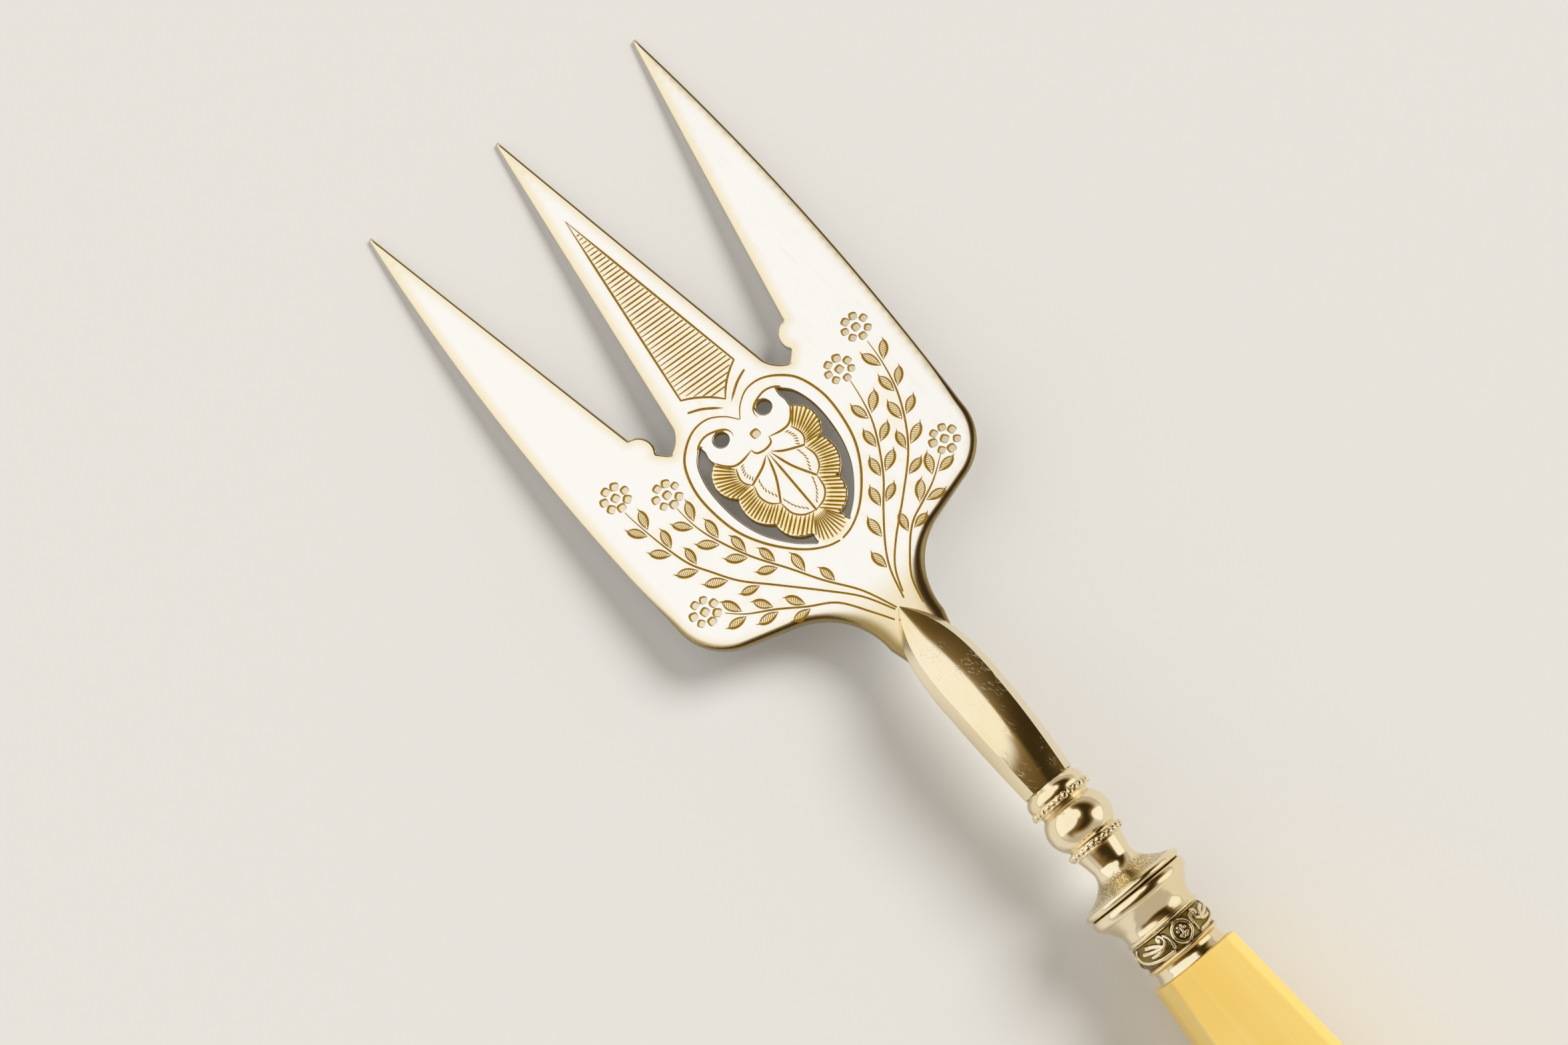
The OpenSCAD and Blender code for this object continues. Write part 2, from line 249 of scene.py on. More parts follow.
def build(name, points, faces, finish, marks=None, crease=35.0, flat=None):
    """points in millimetres along the fork; flat is a list of face numbers that stay faceted."""
    mesh = bpy.data.meshes.new(name)
    mesh.from_pydata(to_row(points).tolist(), [], [tuple(int(i) for i in f) for f in faces])
    mesh.validate()
    for mark, values in (marks or {}).items():
        layer = mesh.attributes.new(mark, "FLOAT", "POINT")
        layer.data.foreach_set("value", np.asarray(values, np.float32))
    mesh.shade_smooth()
    if crease:
        mesh.set_sharp_from_angle(angle=math.radians(crease))
    if flat is not None:
        keep_flat(mesh, flat)
    obj = bpy.data.objects.new(name, mesh)
    bpy.context.scene.collection.objects.link(obj)
    mesh.materials.append(finish.owner)
    print(f"{name}: {len(mesh.vertices)} points, {len(mesh.polygons)} faces")
    return obj


# %% Arcs and smooth curves in the plane
def turn_arc(c, r, a, b, n=10):
    """Arc about a centre, from angle a to angle b in degrees."""
    t = np.radians(np.linspace(a, b, n + 1))
    return np.column_stack([c[0] + r * np.cos(t), c[1] + r * np.sin(t)])


def arc(p, q, b, n=8):
    """Arc from p to q that swells by b to the left of the way there."""
    p, q = np.array(p, float), np.array(q, float)
    d = q - p
    length = np.linalg.norm(d)
    r = (length * length / 4 + b * b) / (2 * abs(b))
    c = (p + q) / 2 + (b - math.copysign(r, b)) * np.array([-d[1], d[0]]) / length
    start = math.degrees(math.atan2(p[1] - c[1], p[0] - c[0]))
    sweep = -math.copysign(2 * math.degrees(math.asin(min(1, length / 2 / r))), b)
    return turn_arc(c, r, start, start + sweep, n)


def spline(p, n=4):
    """Smooth curve through points."""
    p = np.asarray(p, float)
    m = len(p) - 1
    made = []
    for i in range(m):
        a, b, c, d = p[max(0, i - 1)], p[i], p[i + 1], p[min(m, i + 2)]
        for t in np.arange(n) / n:
            bend, twist = 2 * a - 5 * b + 4 * c - d, 3 * b - a - 3 * c + d
            made.append((2 * b + (c - a) * t + bend * t**2 + twist * t**3) / 2)
    return np.array(made + [p[m]])


def mirrored(p):
    """The same line on the fork's other side, run the other way."""
    return np.asarray(p)[::-1] * [1, -1]


# %% Steps and lengths along a line
def even_steps(p, step, closed=False):
    """The same line with points no further apart than step; its corners stay."""
    p = np.asarray(p, float)
    ends = np.vstack([p[1:], p[:1]]) if closed else p[1:]
    made = []
    for a, b in zip(p, ends):
        n = max(1, int(math.ceil(np.linalg.norm(b - a) / step)))
        made += [a + (b - a) * k / n for k in range(n)]
    return np.array(made if closed else made + [p[-1]])


def lengths(p):
    """Distance along a line to each of its points."""
    return np.concatenate([[0], np.cumsum(np.linalg.norm(np.diff(p, axis=0), axis=1))])


def unit(way):
    """The same direction with a length of 1."""
    return way / np.linalg.norm(way)


FEEL = 0.3


def at_length(p, s):
    """Point and direction at a distance s along a line; the direction is felt a little both ways."""
    along = lengths(p)
    place = np.array([np.interp(s, along, p[:, k]) for k in (0, 1)])
    ahead = np.array([np.interp(min(s + FEEL, along[-1]), along, p[:, k]) for k in (0, 1)])
    behind = np.array([np.interp(max(s - FEEL, 0), along, p[:, k]) for k in (0, 1)])
    return place, unit(ahead - behind)


# %% [markdown]
# ## Outline of the head
# The head is cut from sheet: a narrow throat, hollow sweeps out to round shoulders, three broad tines
# ground to points, a small lobe and a notch beside the middle tine's root, and pierced openings round the
# shell. u is measured from the neck's point to the tips. The openings are loops inside the outline.

# %% Outline and openings
HEAD_W, TIP_SPREAD, TINE_LEN, MID_TINE_W, SIDE_TINE_W = 48.7, 45.0, 48.2, 14.8, 11.5
POINT_W, MID_TIP_LEAN, EDGE_SWELL = 0.45, 1.0, 1.5
SHOULDER_R, SHOULDER_AT, SHOULDER_IN = 8.0, 15.9, 1.1
SWEEP_R, THROAT_W, THROAT_U = 10.4, 8.4, -3.6
NOTCH_D, NOTCH_OUT, NOTCH_HOLLOW = 2.6, 2.4, 0.35
LOBE_H, LOBE_AHEAD, LOBE_BACK, LOBE_IN = 1.2, 2.6, 1.2, 1.7
EDGE_STEP, RIM_STEP = 0.55, 0.4
ROOT_U, HALF_HEAD = HEAD_LEN - TINE_LEN, HEAD_W / 2
shoulder_c = np.array([SHOULDER_AT, HALF_HEAD - SHOULDER_IN - SHOULDER_R])
sweep_c = np.array([THROAT_U, THROAT_W / 2 + SWEEP_R])
link = shoulder_c - sweep_c
link_lean = math.acos((SHOULDER_R + SWEEP_R) / np.linalg.norm(link))
LINK_A = math.degrees(math.atan2(link[1], link[0]) - link_lean)
mid_corner = np.array([ROOT_U, MID_TINE_W / 2])
notch_corner = np.array([ROOT_U - NOTCH_D, MID_TINE_W / 2 + NOTCH_OUT])
lobe_in = np.array([ROOT_U + LOBE_AHEAD, HALF_HEAD - SIDE_TINE_W])
lobe_out = np.array([ROOT_U - LOBE_BACK, HALF_HEAD - SIDE_TINE_W - LOBE_IN])

side_edge = np.vstack([
    [[THROAT_U - 7.4, THROAT_W / 2 - 1.2], [THROAT_U - 2.4, THROAT_W / 2 - 0.7]],
    turn_arc(sweep_c, SWEEP_R, -90, LINK_A, 36),
    turn_arc(shoulder_c, SHOULDER_R, 180 + LINK_A, 90, 36),
    arc([SHOULDER_AT + 1, HALF_HEAD - SHOULDER_IN + 0.05], [HEAD_LEN, (TIP_SPREAD + POINT_W) / 2],
        EDGE_SWELL, 60),
    [[HEAD_LEN, (TIP_SPREAD - POINT_W) / 2]],
    arc(lobe_in, lobe_out, LOBE_H, 18),
    arc(notch_corner, mid_corner, -NOTCH_HOLLOW, 12)])
mid_edge = np.array([[HEAD_LEN, POINT_W / 2], [HEAD_LEN, -POINT_W / 2]])
outline = np.vstack([side_edge, mid_edge, mirrored(side_edge)])
middle = np.arange(len(side_edge), len(side_edge) + 2)
outline[middle, 1] += MID_TIP_LEAN
outline = even_steps(outline, EDGE_STEP, closed=True)
print("outline points:", len(outline))

# %% Pierced openings
PIERCING_AT, PIERCING_GAP, PIERCING_W, EYE_R, EYE_Y = 13.1, 4.2, 17.6, 1.05, 3.5
PIERCING_LEN = ROOT_U - PIERCING_GAP - PIERCING_AT
SAME_POINT = 0.02


def spot(share, inset):
    """A point beside the shell: its share of the opening's length and its distance inside the widest line."""
    return (PIERCING_AT + share * PIERCING_LEN, PIERCING_W / 2 - inset)


cusps = [spot(0.85, 2.55), spot(0.56, 2), spot(0.27, 3.6), spot(0.07, 6.5)]
scallops = [arc(cusps[3], cusps[2], 0.95, 14), arc(cusps[2], cusps[1], 1.15, 16),
            arc(cusps[1], cusps[0], 1.6, 18)]
crescent = np.vstack([
    spline([spot(1, 2.5), spot(0.91, 0.9), spot(0.76, 0.05), spot(0.585, 0), spot(0.41, 0.55),
            spot(0.25, 1.8), spot(0.1, 4), spot(0, 6.3)], 9),
    *scallops, [spot(0.9, 2.45), spot(0.95, 2.65)]])
keep = np.ones(len(crescent), bool)
keep[1:] = np.linalg.norm(np.diff(crescent, axis=0), axis=1) > SAME_POINT
crescent = even_steps(crescent[keep], RIM_STEP, closed=True)
EYE = np.array([PIERCING_AT + 0.95 * PIERCING_LEN, EYE_Y])
eye = turn_arc(EYE, EYE_R, 0, 360, 28)[:-1]
openings = [crescent, mirrored(crescent), eye, mirrored(eye)]
print("opening points:", [len(o) for o in openings])

# %% [markdown]
# ## Engraving as drawn lines
# A graver leaves a V-shaped furrow that swells and thins as the hand presses. So each cut is a line with a
# width along it, and most ornament below is a list of such lines: stems, leaves, the fluted shell with its
# border and the hatched spearhead on the middle tine. The lines become real furrows in the mesh, which a
# bump map could not give to the shape itself. Only the flowers are made of pits, punched and not cut.

# %% One cut of the graver
STEEP, TIP_REACH, TIP_HALF, FADE = 0.42, 1.05, 0.004, 4
cuts = []


def cut(points, width, start=0.35, end=0.35, step=0.4, halo=0.6):
    """A furrow along points. start and end are the parts of the full width that it has at its ends, which
    it leaves over a quarter of its length; halo says how golden the metal beside it has grown."""
    line = even_steps(points, step)
    along = lengths(line)
    t = along / along[-1]
    opening, closing = start + (1 - start) * t * FADE, end + (1 - end) * (1 - t) * FADE
    half = width / 2 * np.minimum(1, np.minimum(opening, closing))
    first = line[0] - unit(line[1] - line[0]) * half[0] * TIP_REACH
    last = line[-1] + unit(line[-1] - line[-2]) * half[-1] * TIP_REACH
    line, half = np.vstack([first, line, last]), np.concatenate([[TIP_HALF], half, [TIP_HALF]])
    cuts.append((line, half, STEEP * width, halo))


def both_sides(points, *args, **more):
    """The same cut on both sides of the fork's middle line."""
    cut(points, *args, **more)
    cut(np.asarray(points) * [1, -1], *args, **more)


# %% [markdown]
# The sprays follow one rule: from the flower's lowest pit a stem runs down to the throat, and pointed
# leaves stand off both its sides at even steps, each with one thick and one thin edge and a comb of fine
# hatching. Only the stems' few guiding points and the number of leaves differ from spray to spray.

# %% Stems: guiding points from the flower to the neck
STEMS = {
    "right_inner": [(29.8, -14.1), (27.6, -14.2), (22.7, -13.3), (19, -11.8), (14.7, -9.3), (11.6, -6.8),
                    (7.5, -3.8), (4.4, -2.2), (0.6, -1.2)],
    "right_outer": [(33, -19.4), (30.4, -19.3), (26.7, -18.9), (22.6, -17.9), (18.5, -16), (14.9, -13.5),
                    (10.9, -9.4), (7.3, -5.4), (4.4, -2.9), (1.3, -1.6)],
    "right_low": [(13.6, -18.4), (12.3, -16.7), (10.2, -13.8), (8.8, -10.9), (7.6, -8.4), (5.5, -6.2),
                  (2.1, -3.7), (-1.4, -2.7)],
    "left_inner": [(30.7, 13.5), (28.4, 13.6), (24.8, 13.2), (21.6, 12.2), (17.2, 10.2), (12.7, 7.4),
                   (8.8, 5.1), (4.6, 2.2), (0.2, 0.3)],
    "left_outer": [(34.7, 18.9), (32.3, 19.1), (28.8, 18.6), (25.2, 17.9), (21.6, 16.9), (18.9, 15.4),
                   (15.6, 13.3), (12.2, 10.1), (7.7, 5.9), (4, 2.7), (0.1, 0.6)],
    "left_low": [(15.2, 19.2), (13.8, 17.7), (11.6, 15.3), (9.7, 12.1), (7.4, 8.8), (5.3, 5.5), (1.6, 3.0),
                 (-0.9, 1.5)],
}
# Distance from the flower to the first leaves, and the leaves on the right and on the left of the stem
LEAVES = {"right_inner": (7.7, 4, 6), "right_outer": (6.1, 5, 4), "right_low": (4.7, 3, 3),
          "left_inner": (5.4, 6, 4), "left_outer": (6.5, 3, 5), "left_low": (5.0, 3, 3)}
STEM_W, STEM_START, STEM_END = 0.29, 0.4, 0.9

# %% A leaf
LEAF_STEP, LEAF_LEN, LEAF_W, LEAF_LEAN, LEAF_OFF = 4.05, 2.85, 0.6, 27, 0.36
OUTER_W, INNER_W, HOOK = 0.36, 0.22, (0.42, 0.16)
LEAF_HATCHES, LEAF_HATCH_W, LEAF_HALO = np.linspace(0.2, 0.86, 8), 0.13, 1.2


def belly(share):
    """Half the width of a leaf, from 0 at its base to 0 at its tip, fullest a little past the middle."""
    return np.sin(np.pi * share ** 1.2) ** 0.85


def leaf(base, way, side, size):
    """A leaf from its base along a unit vector: a thick outer edge that flicks past the tip, a thin inner
    edge and a comb of hatching. side says which edge is the outer one."""
    across = np.array([-way[1], way[0]]) * side
    shares = np.linspace(0, 1, 9)
    full = belly(shares) * LEAF_W * size
    mid = base + np.outer(shares * LEAF_LEN * size, way)
    hook = mid[-1] + way * HOOK[0] * size - across * HOOK[1]
    cut(np.vstack([mid + np.outer(full * 0.88, across), hook]), OUTER_W, 0.2, 0.1, step=0.5)
    cut(mid - np.outer(full * 0.94, across), INNER_W, 0.4, 0.5, step=0.5)
    for t in LEAF_HATCHES:
        reach = belly(t) * LEAF_W * size
        heart = base + way * LEAF_LEN * size * t
        skew = way * 0.2 * reach / LEAF_W
        cut([heart + across * (reach - 0.24) + skew, heart - across * (reach - 0.14) - skew],
            LEAF_HATCH_W, 0.9, 0.7, 2, LEAF_HALO)


# %% Flowers and whole sprays
PETALS, PETAL_R, PETAL_OUT = 7, 0.57, 1.57
pits = []


def pit(place, size, turned):
    """A rounded-square dent: its floor is set back a little, so its wall is a crescent on one side."""
    pits.append((np.asarray(place, float), size, turned))


rng = np.random.default_rng(7)
for name, guide in STEMS.items():
    stem = spline(guide, 5)
    from_pit = next(k for k, s in enumerate(lengths(stem)) if s > PETAL_OUT + PETAL_R)
    cut(stem[from_pit:], STEM_W, STEM_START, STEM_END, step=0.6)
    first, *counts = LEAVES[name]
    for side, count in zip((-1, 1), counts):
        for k in range(count):
            foot, way = at_length(stem, first + LEAF_STEP * k + 0.3 * side)
            lean = math.radians(LEAF_LEAN + rng.uniform(-5, 5)) * side
            back = np.array([-way[0] * math.cos(lean) + way[1] * math.sin(lean),
                             -way[0] * math.sin(lean) - way[1] * math.cos(lean)])
            size = rng.uniform(0.92, 1.08) * (0.88 if k == count - 1 else 1)
            leaf(foot + np.array([way[1], -way[0]]) * side * LEAF_OFF, back, side, size)
    heart = np.array(guide[0], float)
    start = math.atan2(guide[1][1] - guide[0][1], guide[1][0] - guide[0][0])
    pit(heart, PETAL_R * 1.05, rng.uniform(0, 1))
    for k in range(PETALS):
        a = start + 2 * math.pi * k / PETALS + (rng.uniform(-0.08, 0.08) if k else 0)
        petal = heart + PETAL_OUT * np.array([math.cos(a), math.sin(a)])
        pit(petal, PETAL_R * rng.uniform(0.9, 1.08), a)
print("cuts in the sprays:", len(cuts), "pits:", len(pits))

# %% [markdown]
# The medallion is a shell under two scrolls: a border that meets in a cusp, rings round the pierced eyes, a
# small lozenge pit, petals that fan from one point, and seven fluted scallops whose rims are pierced away
# behind. The flutes run from the petals' ends to the rim, so each is a line between two arcs.

# %% Border, scrolls and petals of the medallion
BORDER_W, SCROLL_W, PETAL_W, LOZENGE_R, FAN = 0.36, 0.32, 0.34, 0.66, np.array([26.8, 0.0])
border = spline([
    (32.8, 0.06), (34.3, 1.25), (35.5, 3.2), (35.45, 5.5), (34.2, 7.7), (32.2, 9.4), (28.8, 10.4),
    (25.2, 10.4), (21.2, 9.65), (17.9, 8.1), (15.2, 6.1), (13.2, 4), (12, 1.9), (11.6, 0.3)], 5)
volute = spline([(32.97, 6.71), (33.37, 6.26), (33.72, 5.45), (33.8, 4.6), (33.6, 3.7), (33.25, 2.85),
                 (32.75, 2.2), (32.1, 1.92), (31.5, 2.0)], 4)
scroll_foot = spline([(30.0, 6.1), (28.87, 5.34), (28.15, 4.4), (28.05, 3.2), (28.4, 1.6)], 4)
collar = spline([(28.45, 1.45), (27.65, 1.15), (27.36, 0), (27.65, -1.15), (28.45, -1.45)], 4)
both_sides(border, BORDER_W, 0.4, 0.8)
both_sides(volute, 0.3, 0.9, 0.15)
both_sides(scroll_foot, SCROLL_W, 0.5, 0.4)
cut(collar, SCROLL_W, 0.4, 0.4)
pit((29.9, -0.35), LOZENGE_R, 0.1)
for tip in [(24.6, 4.2), (20.4, 2.9)]:
    both_sides(spline([(26.75, 0.35 * tip[1] / 4), ((26.75 + tip[0]) / 2, tip[1] * 0.42), tip], 4),
               PETAL_W, 0.1, 0.9)
cut([(26.8, 0), (16.75, 0)], PETAL_W, 0.1, 0.9)

# %% Flutes of the shell
FLUTE_W, FOOT_FLUTES, ARC_W = 0.3, 11, 0.27
inner_arcs = [spline([(27.7, 4.5), (26.4, 4.95), (25.4, 4.85), (24.6, 4.25)], 7),
              spline([(24.3, 4.15), (22.7, 4.5), (21.2, 4.0), (20.4, 3.0)], 7),
              spline([(20.2, 2.9), (18.4, 2.65), (17.2, 1.6), (16.75, 0.1)], 7)]
outer_arcs = [s[::-1] for s in scallops[::-1]]


def middle_of(line, k, count):
    """The middle of the step number k, where a line is divided into count steps."""
    return at_length(line, (k + 0.5) / count * lengths(line)[-1])[0]


for inner, outer, flutes in zip(inner_arcs, outer_arcs, (11, 12, 9)):
    both_sides(inner, ARC_W, 0.5, 0.5)
    for k in range(flutes):
        a, b = middle_of(inner, k, flutes), middle_of(outer, k, flutes)
        way = unit(b - a)
        width = FLUTE_W * (1.15 if k % 3 == 0 else 0.9)
        both_sides([a + way * 0.2, b - way * 0.3], width, 0.4, 0.8, 0.8, 1.2)
foot = spline([(14.35, 2.2), (12.9, 1.75), (12.35, 0), (12.9, -1.75), (14.35, -2.2)], 6)
for k in range(FOOT_FLUTES):
    a, b = np.array([16.3, 1.5 * (0.5 - (k + 0.5) / FOOT_FLUTES)]), middle_of(foot, k, FOOT_FLUTES)
    way = unit(b - a)
    cut([a + way * 0.2, b - way * 0.1], FLUTE_W * 0.85, 0.3, 0.7, 0.8, 1.0)

# %% Rows of small ticks across the petals
TICK_W, TICK_LEAN = 0.2, 0.45
for row in [[(27.5, 3.6), (26.4, 4.0), (25.3, 3.65)], [(24.5, 3.2), (23.1, 3.35), (21.6, 2.75)],
            [(20.4, 2.3), (18.9, 1.75), (17.7, 0.8)]]:
    row = spline(row, 6)
    for t in np.linspace(0, 1, 7):
        a, _ = at_length(row, t * lengths(row)[-1])
        way = unit(a - FAN)
        way = way + np.array([-way[1], way[0]]) * TICK_LEAN
        both_sides([a - way * 0.18, a + way * 0.22], TICK_W, 0.6, 1.0, step=1)
print("cuts with the medallion:", len(cuts))

# %% [markdown]
# On the middle tine stands a slim spearhead, hatched across its whole length, with a flick of the graver at
# each side of its foot. Its lower edges are hollow, and the hatching is set square to the tine.

# %% Spearhead
SPEAR_TIP, SPEAR_FOOT, SHOULDER_U = np.array([70.1, 0.75]), np.array([36.2, -0.3]), 39.8
SPEAR_W, HATCHES, HATCH_FROM, HATCH_W, HATCH_GAP, HATCH_HALO = 0.32, 46, 37.3, 0.24, 0.24, 0.8
corners = [np.array([SHOULDER_U, 4.3]), np.array([SHOULDER_U, -4.48])]
for corner in corners:
    cut([SPEAR_TIP, corner], SPEAR_W, 0.3, 0.8)
    cut(arc(corner, SPEAR_FOOT, 0.35 * math.copysign(1, corner[1]), 6), SPEAR_W, 0.8, 0.6)
for k in range(HATCHES):
    u = HATCH_FROM + (SPEAR_TIP[0] - 1.0 - HATCH_FROM) * (k + 0.5) / HATCHES
    if u < SHOULDER_U:
        reach = [c[1] * (u - SPEAR_FOOT[0]) / (c[0] - SPEAR_FOOT[0]) * 0.86 for c in corners]
    else:
        reach = [c[1] + (SPEAR_TIP[1] - c[1]) * (u - c[0]) / (SPEAR_TIP[0] - c[0]) for c in corners]
    left, right = reach[0] - HATCH_GAP, reach[1] + HATCH_GAP
    if left - right > 0.3:
        slant = 0.02 * (left - right)
        width = HATCH_W + 0.04 * (k % 3 == 1)
        cut([(u + slant, left), (u - slant, right)], width, 0.5, 0.8, 1.2, HATCH_HALO)
flick = spline([(37.8, 4.6), (37.0, 2.8), (35.35, 0.6)], 4)
both_sides(flick, BORDER_W, 0.8, 0.05)
print("all cuts:", len(cuts))

# %% [markdown]
# ## The engraved head as one closed mesh
# The engraved face is a triangulation that has every furrow's two lips and its bed as edges, so the
# furrows stay crisp whatever the light. A constrained Delaunay triangulation does that. The face then
# takes its height from three things: the sheet's long shallow curve, the rolled edge, broad at the throat
# and thin along the tines, and the depth of the furrow or pit at each point. The back is a plainer sheet of
# triangles with the same rim, and a wall joins the two.

# %% Distances in the plane
def distance_to(points, loop, closed=True):
    """Shortest distance from each point to a line."""
    a = np.asarray(loop, float)
    b = np.roll(a, -1, axis=0) if closed else a[1:]
    a = a if closed else a[:-1]
    best = np.full(len(points), 1e9)
    for p, q in zip(a, b):
        d = q - p
        t = np.clip(((points - p) @ d) / max(d @ d, 1e-12), 0, 1)
        best = np.minimum(best, np.hypot(*(points - p - np.outer(t, d)).T))
    return best


def inside(points, loop):
    """Which points lie inside a loop: those from which a ray crosses it an odd number of times."""
    x, y = points.T
    within = np.zeros(len(points), bool)
    for (x1, y1), (x2, y2) in zip(loop, np.roll(loop, -1, axis=0)):
        if y1 != y2:
            within ^= ((y1 > y) != (y2 > y)) & (x < (x2 - x1) * (y - y1) / (y2 - y1) + x1)
    return within


def signed_area(loop):
    """Area inside a loop, negative where it runs clockwise."""
    ahead = np.roll(loop, -1, axis=0)
    return 0.5 * np.sum(loop[:, 0] * ahead[:, 1] - ahead[:, 0] * loop[:, 1])


# %% Depth of cuts and pits
NO_CUT = 0.006


def cut_depth(points):
    """Depth of the engraving at each point, in millimetres."""
    depth = np.zeros(len(points))
    order = np.argsort(points[:, 0])
    xs = points[order, 0]
    for line, half, deep, _ in cuts:
        lo, hi = line.min(0) - 0.3, line.max(0) + 0.3
        near = order[np.searchsorted(xs, lo[0]):np.searchsorted(xs, hi[0])]
        near = near[(points[near, 1] > lo[1]) & (points[near, 1] < hi[1])]
        p = points[near]
        for a, b, ha, hb in zip(line[:-1], line[1:], half[:-1], half[1:]):
            d = b - a
            t = np.clip(((p - a) @ d) / (d @ d), 0, 1)
            away = np.hypot(*(p - a - np.outer(t, d)).T)
            width = ha + (hb - ha) * t
            level = np.maximum(0, 1 - away / width) * width / half.max()
            depth[near] = np.maximum(depth[near], deep * level)
    depth[depth < NO_CUT] = 0
    return depth


PIT_DEEP, PIT_FLOOR, PIT_SHIFT, SQUARENESS = 0.09, 0.74, 0.28 * np.array([-0.8, -0.4]), 3.6
PIT_STEPS, IN_RIM = (0.0, 0.5, 1.0), 0.001


def pit_loop(place, size, turned, share, n=14):
    """A loop inside a pit: share is 0 at its rim and 1 at the edge of its floor."""
    a = np.linspace(0, 2 * math.pi, n, endpoint=False)
    square = (np.abs(np.cos(a)) ** SQUARENESS + np.abs(np.sin(a)) ** SQUARENESS) ** (-1 / SQUARENESS)
    r = square * size * (1 - (1 - PIT_FLOOR) * share)
    middle = place + PIT_SHIFT * size * share
    return middle + np.column_stack([r * np.cos(a + turned), r * np.sin(a + turned)])


def pit_levels(points):
    """How far into a pit each point lies: 0 outside, just above 0 inside the rim, and 1 on the floor."""
    level = np.zeros(len(points))
    for place, size, turned in pits:
        near = np.flatnonzero(np.hypot(*(points - place).T) < size * 1.3)
        for share in PIT_STEPS:
            within = inside(points[near], pit_loop(place, size * 1.004, turned, share))
            level[near] = np.maximum(level[near], (IN_RIM + (1 - IN_RIM) * share) * within)
    return level


# %% Heights of the sheet
SHEET_T, TIP_T, DISH_R, TIP_SLOPE = 1.9, 0.7, 1300.0, math.radians(2.6)
TAPER = math.atan((SHEET_T - TIP_T) / HEAD_LEN)


def dish(u, z_tip, slope):
    """Height of a long curve that comes down to z_tip at the tips with the given slope."""
    x = KEEL_X + np.asarray(u, float)
    cx, cz = TIP_X + DISH_R * math.sin(slope), z_tip + DISH_R * math.cos(slope)
    return cz - np.sqrt(DISH_R**2 - (x - cx) ** 2)


def top_z(u):
    """Height of the head's upper face."""
    return dish(u, TIP_T, TIP_SLOPE + TAPER)


def back_z(u):
    """Height of the head's back."""
    return dish(u, 0, TIP_SLOPE)


def smooth(t):
    """0 up to 0, 1 from 1 on, and an even ease in between."""
    t = np.clip(t, 0, 1)
    return t * t * (3 - 2 * t)


def roll_width(u):
    """Width of the rounded edge: broad at the throat and shoulders, narrow along the tines."""
    return 0.38 + 0.55 * smooth((24 - u) / 12) + 1.0 * smooth((9 - u) / 9)


def roll_depth(u):
    """How far the rounded edge drops, at most four tenths of the sheet."""
    drop = 0.26 + 0.2 * smooth((24 - u) / 12) + 0.5 * smooth((9 - u) / 9)
    return np.minimum(drop, 0.4 * (top_z(u) - back_z(u)))


# %% Rows of points beside every edge
EDGE_ROWS, HOLE_ROWS = (0.04, 0.14, 0.3, 0.5, 0.75, 1.0), (0.25, 1.0, 1.8, 3.0)
HOLE_ROLL_W, HOLE_ROLL_D = 0.16, 0.12


def inward(loop, far, hole):
    """Points set back from an edge by a distance given for each of its points."""
    way = np.roll(loop, -1, axis=0) - np.roll(loop, 1, axis=0)
    way = way / np.maximum(np.linalg.norm(way, axis=1), 1e-9)[:, None]
    normal = np.column_stack([-way[:, 1], way[:, 0]]) * (1 if (signed_area(loop) > 0) != hole else -1)
    return loop + normal * np.asarray(far)[:, None]


edge_rows = []
for part in EDGE_ROWS:
    far = roll_width(outline[:, 0]) * part
    row = inward(outline, far, False)
    ok = inside(row, outline) & (distance_to(row, outline) > far * 0.93)
    edge_rows.append(row[ok])
for opening in openings:
    for part in HOLE_ROWS:
        far = np.full(len(opening), HOLE_ROLL_W * part)
        row = inward(opening, far, True)
        edge_rows.append(row[~inside(row, opening) & (distance_to(row, opening) > far * 0.9)])
edge_rows = np.vstack(edge_rows)

# %% Points and edges that the triangles have to keep
loops = [outline, *openings]
fixed, edges, halos = [], [], []


def keep_loop(loop):
    """Keeps a closed loop's points and the edges between them."""
    start, count = len(fixed), len(loop)
    fixed.extend(loop)
    edges.extend((start + k, start + (k + 1) % count) for k in range(count))


for loop in loops:
    keep_loop(loop)
rim_count = len(fixed)
rim_edges = list(edges)
for line, half, _, gold in cuts:
    way = np.gradient(line, axis=0)
    way /= np.linalg.norm(way, axis=1)[:, None]
    normal = np.column_stack([-way[:, 1], way[:, 0]])
    start, n = len(fixed), len(line)
    for offset in (-1, 0, 1):
        fixed += list(line + normal * (half * offset)[:, None])
        halos += [gold] * n
    edges += [(start + r * n + k, start + r * n + k + 1) for r in range(3) for k in range(n - 1)]
    edges += [(start + r * n + k, start + (r + 1) * n + k) for r in range(2) for k in (0, n - 1)]
for place, size, turned in pits:
    for share in PIT_STEPS:
        keep_loop(pit_loop(place, size, turned, share))
fixed = np.array(fixed)
print("points on rims, cuts and pits:", len(fixed))

# %% Free points between them
FACE_STEP, BACK_STEP, BACK_ROW = 0.95, 1.5, 0.35
BEHIND_THROAT = -11


def planted(points):
    """A tree that finds the nearest of some points in the plane."""
    tree = kdtree.KDTree(len(points))
    for k, p in enumerate(points):
        tree.insert((p[0], p[1], 0), k)
    tree.balance()
    return tree


def sieve(free, taken, gap):
    """Drops the free points that lie closer to a taken one than gap."""
    tree = planted(taken)
    return np.array([p for p in free if tree.find((p[0], p[1], 0))[2] > gap])


